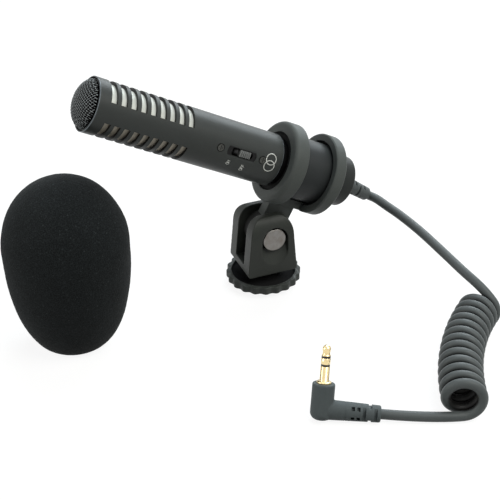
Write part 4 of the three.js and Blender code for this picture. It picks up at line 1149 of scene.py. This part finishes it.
switch_station = 0.0335
switch_place = shifted(0, 0, switch_station)
past_barrel = 0.013
inside_barrel = 0.005
window_length = 0.0103
window_width = 0.0033
window_margin = 0.0033
flat_depth = barrel_radius - 0.00028
screw_step = 0.01
window_cut = prism_x(stadium(window_length, window_width), inside_barrel, past_barrel)
flat_outline = stadium(window_length + window_margin, window_width + window_margin)
switch_cuts = [
    moved(cut, switch_place) for cut in (prism_x(flat_outline, flat_depth, past_barrel), window_cut)
]
screw_cuts = [
    moved(rod_x(radius, floor, past_barrel, sides), shifted(0, 0, station))
    for radius, floor, sides in ((0.0017, barrel_radius - 0.0008, 40), (0.001, inside_barrel, 24))
    for station in (switch_station + screw_step, switch_station - screw_step)
]
barrel_shape = carved((barrel_points, barrel_faces), switch_cuts + screw_cuts)
# Below the barrel's outer skin the paint turns near black (14, 14, 14): painted shade on the slots'
# walls, the switch's milled flat and window, the screws' recesses and the bore.
barrel_paint = finish(
    "barrel_paint", srgb(54, 57, 56), srgb(70, 73, 72), 3200.0, 0.000035, 0.4, 50.0,
    (from_axis, srgb(14, 14, 14), barrel_radius - 0.00016, barrel_radius - 0.00008),
    Specular_IOR_Level=0.18
)
barrel = on_axis("barrel", barrel_shape, "barrel_paint", barrel_paint, ("barrel_tube",), 0)
soften_edges(barrel, 0.0001)
# Thin chamfer rings of light bluish metal on the barrel's rear end and rim: painted highlights
# along those edges.
edge_highlight_metal = plated("barrel_edge_highlight", srgb(84, 90, 94), srgb(112, 119, 124), 0.42, 0.5)
for name, face, into, width in (
    ("barrel_rear_edge", barrel_rear, 1, 0.00036), ("barrel_rim_edge", barrel_rim, -1, 0.00012)
):
    lap = face + (width + 0.00012) * into
    ring = [
        (barrel_radius - width - 0.00016, face - 0.00003 * into),
        (barrel_radius - width, face - 0.00003 * into),
        (barrel_radius + 0.00002, face + (width - 0.00002) * into), (barrel_radius + 0.00002, lap),
        (barrel_radius - 0.0003, lap)
    ]
    on_axis(name, revolved(ring, 128), "barrel_paint", edge_highlight_metal, smooth=30)


# Grille: grey wire, woven and pressed into a dome over black cloth. It has a plain skirt that a
# ring holds in the barrel's mouth.
grille_radius = 0.0101
grille_base = 0.0973
grille_rise = 0.006
wire_radius = 0.00016
wire_pitch = 0.00091
weave_lift = 0.00019


def dome(reach):
    """The height of the grille's dome at a distance from its axis."""
    return grille_base + grille_rise * math.sqrt(max(0.0, 1 - (reach / grille_radius) ** 2))


wire_points, wire_faces = [], []
wires_each_way = int((grille_radius - 0.0003) / wire_pitch)
for way in (0, 1):
    for k in range(-wires_each_way, wires_each_way + 1):
        aside = k * wire_pitch
        run = math.sqrt((grille_radius - 0.0002) ** 2 - aside**2)
        steps = 2 * max(4, round(run / wire_pitch * 2))
        route = []
        for i in range(steps + 1):
            # The steps follow the dome's curve, so that the steep ends get as many as the crown
            along = run * math.sin(math.pi / 2 * (2 * i / steps - 1))
            wave = math.cos(math.pi * (along / wire_pitch + k + way))
            height = dome(math.hypot(along, aside))
            steep = (height - grille_base) * (grille_radius / grille_rise) ** 2
            outward = Vector((along, aside, steep)).normalized()
            depth = weave_lift * (wave - 1) - wire_radius
            spot = Vector((along, aside, height)) + outward * depth
            route.append((spot.x, spot.y, spot.z) if way else (spot.y, spot.x, spot.z))
        points, faces = tube(route, wire_radius, 8)
        start = len(wire_points)
        wire_points += points
        wire_faces += [tuple(start + i for i in face) for face in faces]
dome_heart = barrel_place @ Vector((0, 0, grille_base))


def from_dome(wire, place):
    """Measures how far a place lies outside the dome's face, below zero inside it."""
    arm = wire.vector("SUBTRACT", place, dome_heart)
    reach = wire.vector("LENGTH", arm, out=1)
    height = wire.vector("DOT_PRODUCT", arm, axis_way, 1)
    up = height * height
    aside = reach * reach - up
    share = wire.sum("SQRT", up * grille_rise**-2 + aside * grille_radius**-2)
    slope = wire.sum("SQRT", up * grille_rise**-4 + aside * grille_radius**-4)
    return wire.sum("DIVIDE", share - 1.0, slope)


# Where the wires dip below the dome's face they turn near black (5, 6, 6): painted shade under the
# crossings.
wire_metal = finish(
    "mesh_wire", srgb(112, 118, 120), srgb(160, 166, 168), 3000.0, 0.00001, 0.38, 300.0,
    (from_dome, srgb(5, 6, 6), -0.0003, -0.00002), Metallic=0.3
)
piece(
    "grille_weave", wire_points, wire_faces, "microphone", "mesh_wire", wire_metal,
    ("front_grille",), barrel_place @ spun(-25, "Z"), smooth=0
)
skirt_bore = grille_radius - 0.0005
skirt_foot = grille_base - 0.0014
skirt_top = grille_base + 0.0006
skirt = [
    (skirt_bore, skirt_foot), (grille_radius, skirt_foot), (grille_radius, skirt_top - 0.0004),
    (grille_radius - 0.0002, skirt_top), (skirt_bore + 0.0001, skirt_top),
    (skirt_bore, skirt_top - 0.0003)
]
on_axis("grille_skirt", revolved(skirt, 96), "mesh_wire", wire_metal, smooth=50)
cloth_radius = grille_radius - 0.0012
cloth_rise = grille_rise - 0.0015
cloth_steps = [polar(1, math.pi / 2 * i / 16) for i in range(16)]
cloth_profile = [
    (0, grille_base - 0.001), (cloth_radius, grille_base - 0.001),
    *((cloth_radius * x, grille_base + cloth_rise * y) for x, y in cloth_steps),
    (0, grille_base + cloth_rise)
]
cloth = finish(
    "grille_cloth", srgb(3, 3, 4), srgb(7, 7, 8), 4000.0, 0.00004, 0.95, 400.0,
    Specular_IOR_Level=0.02
)
on_axis("grille_cloth", revolved(cloth_profile, 64), "holder_rubber", cloth)


# Acoustic sleeve: a pale roll of fine metal gauze behind the slots, which keeps wind and dust out.
# It lies against the bore. Its upper side is drawn lighter and its lower side browner and darker:
# painted light above and painted shade below.
gauze, shader, wire, place = blank("sleeve_metal")
cradle_turn = (math.radians(pitch), 0.0, 0.0)
lying = wire.add("Mapping", {"vector_type": "TEXTURE"}, {"Vector": place, "Rotation": cradle_turn})
weave = {"Vector": lying, "Scale": 1500.0, "Distortion": 0.6, "Detail": 1.0, "Detail Scale": 2.0}
strands = [
    wire.add(
        "TexWave", {"wave_type": "BANDS", "wave_profile": "SIN", "bands_direction": way}, weave
    ) for way in ("Y", "Z")
]
mesh_height = (strands[0] * 0.5 + strands[1] * 0.5).clamp()
stain = wire.noise(place, 260.0, 3.0, 0.6)
upward = axis_way.cross(Vector((1, 0, 0))).normalized()
rise = wire.vector("DOT_PRODUCT", wire.vector("SUBTRACT", place, axis_point), upward, 1)
grain = (mesh_height * 0.4 + stain * 0.6).clamp()
lit_upper_tone = grain.tint(srgb(178, 180, 173), srgb(226, 228, 222))
shaded_lower_tone = grain.tint(srgb(144, 137, 124), srgb(192, 184, 168))
# Above the axis the gauze takes the lit tone and below it the shaded brown one: painted light and
# shade.
(rise * 200.0 + 0.5).clamp().tint(shaded_lower_tone, lit_upper_tone).to(shader, "Base Color")
mesh_height.bump(0.3, 0.00003).to(shader, "Normal")
shader.inputs["Roughness"].default_value = 0.5
shader.inputs["Metallic"].default_value = 0.25
sleeve_radius = 0.00966
sleeve_bore = sleeve_radius - 0.0006
sleeve_rear = 0.054
sleeve = [
    (sleeve_bore, sleeve_rear), (sleeve_radius, sleeve_rear), (sleeve_radius, mouth_floor),
    (sleeve_bore, mouth_floor)
]
on_axis("sleeve", revolved(sleeve, 128), "sleeve_metal", gauze, ("acoustic_sleeve",))


# Power switch: a ribbed nylon thumb piece in the window, at OFF. Its body and its two cross-head
# screws keep their solids, as do the capsules, the board, the battery and what holds them.
slider_place = shifted(0, 0, switch_station - 0.0015)
slider_length = 0.0052
slider_half = 0.00135
slider_foot = 0.0083
slider_top = barrel_radius + 0.00025
ribs = 6
rib_pitch = slider_length / ribs
thumb = box(
    (slider_foot + 0.0006, -slider_half, -slider_length / 2),
    (slider_top - 0.00045, slider_half, slider_length / 2)
)
plate_half = 0.0024
plate_reach = 0.0042
plate = box(
    (slider_foot, -plate_half, -plate_reach), (slider_foot + 0.0007, plate_half, plate_reach)
)
rib_blocks = []
for i in range(ribs):
    low = -slider_length / 2 + rib_pitch * (i + 0.25)
    # The rib at the ON end is twice as wide as the others
    high = slider_length / 2 if i == ribs - 1 else low + 0.5 * rib_pitch
    rib_blocks.append(
        box((slider_top - 0.0006, -slider_half, low), (slider_top, slider_half, high))
    )
slider_grey = finish(
    "switch_nylon", srgb(104, 106, 106), srgb(140, 142, 142), 2600.0, 0.00003, 0.42, 300.0,
    Specular_IOR_Level=0.4
)
slider_shape = carved(thumb, rib_blocks, "UNION")
# The plate round the thumb takes the insulators' black nylon: painted shade in the window round the
# thumb.
piece(
    "slider_plate", *moved(plate, slider_place), "slider", "switch_nylon", black_nylon_and_shade, (),
    barrel_place, smooth=0
)
slider = piece(
    "slider", *moved(slider_shape, slider_place), "slider", "switch_nylon", slider_grey,
    ("switch_slider",), barrel_place, smooth=0
)
soften_edges(slider, 0.00006)
screw_steel = plated("screw_steel", srgb(52, 53, 50), srgb(84, 85, 81), 0.42, 0.6)
dressed(screw_steel, "screw_front", "screw_rear", width=0.00005)
dressed(
    finish("switch_body", srgb(14, 14, 15), srgb(24, 24, 26), 2600.0, 0.00003, 0.5, 300.0),
    "slide_switch", width=0.0001
)
dressed(
    finish("board_laminate", srgb(40, 84, 54), srgb(54, 104, 70), 1200.0, 0.00004, 0.4, 150.0),
    "circuit_board", width=0.00008
)
dressed(
    plated("capsule_metal", srgb(168, 168, 164), srgb(204, 204, 200), 0.35), "left_capsule",
    "right_capsule"
)
dressed(
    finish("holder_rubber", srgb(26, 26, 26), srgb(42, 42, 42), 1500.0, 0.00006, 0.8, 200.0),
    "capsule_holder", "battery_holder"
)
dressed(
    plated("cell_steel", srgb(186, 186, 184), srgb(214, 214, 212), 0.25), "battery_cell",
    "battery_spring"
)
dressed(wire_metal, "grille_ring", width=0.0001)


# Marks: screen-printed in pale grey. ON stands ahead of OFF below the switch, and a plain pair of
# overlapping rings for the two channels by the barrel's rear edge.
mark_height = 0.00001
mark_paint = finish(
    "mark_ink", srgb(226, 228, 224), srgb(248, 250, 246), 4000.0, 0.000005, 0.6, 800.0
)
degrees_per_metre = math.degrees(1 / barrel_radius)


def on_barrel(station, turn):
    """A place on the barrel's skin, from its station and its angle from the switch in degrees."""
    return Vector((*polar(barrel_radius + mark_height, math.radians(turn)), station))


def round_mark(middle, turn, radius, steps=28):
    """Stations and angles of a circle on the barrel."""
    circle = [polar(radius, math.radians(360 * i / steps)) for i in range(steps + 1)]
    return [(middle + x, turn + degrees_per_metre * y) for x, y in circle]


def printed(strokes, width):
    """Points and faces of flat bands laid on the barrel along strokes of station and angle."""
    points, faces = [], []
    for stroke in strokes:
        route = [on_barrel(station, turn) for station, turn in stroke]
        for i, here in enumerate(route):
            before, after = route[max(i - 1, 0)], route[min(i + 1, len(route) - 1)]
            if i == 0 and (route[-1] - here).length < 1e-6:
                before = route[-2]
            if i == len(route) - 1 and (route[0] - here).length < 1e-6:
                after = route[1]
            out = Vector((here.x, here.y, 0)).normalized()
            aside = (after - before).cross(out).normalized() * width / 2
            lower = here + aside, here - aside
            points += [*lower, *(point + out * mark_height for point in lower)]
        start = len(points) - 4 * len(route)
        for i in range(len(route) - 1):
            a = start + 4 * i
            faces += [(a + 2, a + 3, a + 7, a + 6), (a, a + 4, a + 5, a + 1)]
            faces += [(a, a + 2, a + 6, a + 4), (a + 1, a + 5, a + 7, a + 3)]
        for a in (start, start + 4 * (len(route) - 1)):
            faces.append((a, a + 1, a + 3, a + 2))
    return points, faces


letter_high = 0.0013
letter_wide = 0.00082
letter_step = 0.00108
# Each letter's strokes, as shares of its width and height
letter_shares = {
    "O": [[
        (0, 0.25), (0.25, 0), (0.75, 0), (1, 0.25), (1, 0.75), (0.75, 1), (0.25, 1), (0, 0.75),
        (0, 0.25)
    ]], "N": [[(0, 0), (0, 1), (1, 0), (1, 1)]],
    "F": [[(0, 0), (0, 1), (1, 1)], [(0, 0.52), (0.8, 0.52)]]
}


def word(letters, station, turn):
    """Strokes of a word that reads round the barrel from below the switch upwards."""
    strokes = []
    length = (len(letters) - 1) * letter_step + letter_wide
    foot = station - letter_high / 2
    for i, letter in enumerate(letters):
        left = i * letter_step - length / 2
        for stroke in letter_shares[letter]:
            strokes.append([
                (foot + letter_high * y, turn + degrees_per_metre * (left + letter_wide * x))
                for x, y in stroke
            ])
    return strokes


words = word("ON", 0.0377, -26.8) + word("OFF", 0.0307, -30.3)
channel_rings = [round_mark(0.0197, turn, 0.0023) for turn in (6.8, -8.2)]
for name, strokes, width in (
    ("switch_words", words, 0.00029), ("channel_rings", channel_rings, 0.00038)
):
    on_axis(name, printed(strokes, width), "barrel_paint", mark_paint, smooth=0)


# Studio: a white floor and a white surround, which only the camera, mirrors and glass see as white.
# Four broad soft lamps light the object: above, behind, and on the camera's right and left.
def seen(tree):
    """1 where a ray shows the studio and 0 where it only lights the object."""
    ray = tree.nodes.new("ShaderNodeLightPath")
    camera, glossy, through = (
        Wire(tree, ray.outputs[name])
        for name in ("Is Camera Ray", "Is Glossy Ray", "Is Transmission Ray")
    )
    return (camera + glossy + through).clamp()


floor_material = bpy.data.materials.new("floor")
floor_material.use_nodes = True
tree = floor_material.node_tree
shader = tree.nodes["Principled BSDF"]
shader.inputs["Roughness"].default_value = 0.9
shown = seen(tree)
shown.tint((0.3, 0.295, 0.28, 1), (0.9, 0.9, 0.9, 1)).to(shader, "Base Color")
glow = tree.nodes.new("ShaderNodeEmission")
glow.inputs["Strength"].default_value = 1.12
both = tree.nodes.new("ShaderNodeMixShader")
(shown * 0.8).to(both, 0)
tree.links.new(shader.outputs[0], both.inputs[1])
tree.links.new(glow.outputs[0], both.inputs[2])
tree.links.new(both.outputs[0], tree.nodes["Material Output"].inputs[0])
floor_reach = 4
floor_height = -0.0002
corners = [(-1, -1), (1, -1), (1, 1), (-1, 1)]
corners = [(x * floor_reach, y * floor_reach, floor_height) for x, y in corners]
floor_mesh = bpy.data.meshes.new("floor")
floor_mesh.from_pydata(corners, [], [(0, 1, 2, 3)])
floor_mesh.materials.append(floor_material)
floor = bpy.data.objects.new("floor", floor_mesh)
bpy.context.scene.collection.objects.link(floor)
world = bpy.data.worlds.new("surround")
world.use_nodes = True
bpy.context.scene.world = world
tree = world.node_tree
ambient = 0.06
(seen(tree) * (1 - ambient) + ambient).to(tree.nodes["Background"], 1)
tree.nodes["Background"].inputs[0].default_value = (1, 1, 1, 1)
lamp_size = 0.6
lamp_target = Vector((0, 0, 0.04))
for name, place, colour, watts in (
    ("top", (-0.36, 0.15, 0.88), (0.86, 0.95, 1.0), 3.4),
    ("back", (-0.6, 0.6, 0.55), (0.86, 0.95, 1.0), 5.4),
    ("right", (0.5, 0.35, 0.8), (1.0, 1.0, 0.94), 5.7),
    ("left", (-0.15, -0.95, 0.3), (1.0, 1.0, 0.95), 3.5)
):
    lamp = bpy.data.lights.new(name, "AREA")
    lamp.energy, lamp.size, lamp.color = watts, lamp_size, colour
    stand = bpy.data.objects.new(name, lamp)
    stand.location = place
    stand.rotation_euler = (Vector(place) - lamp_target).to_track_quat("Z", "Y").to_euler()
    bpy.context.scene.collection.objects.link(stand)
bpy.context.scene.view_settings.view_transform = "Standard"
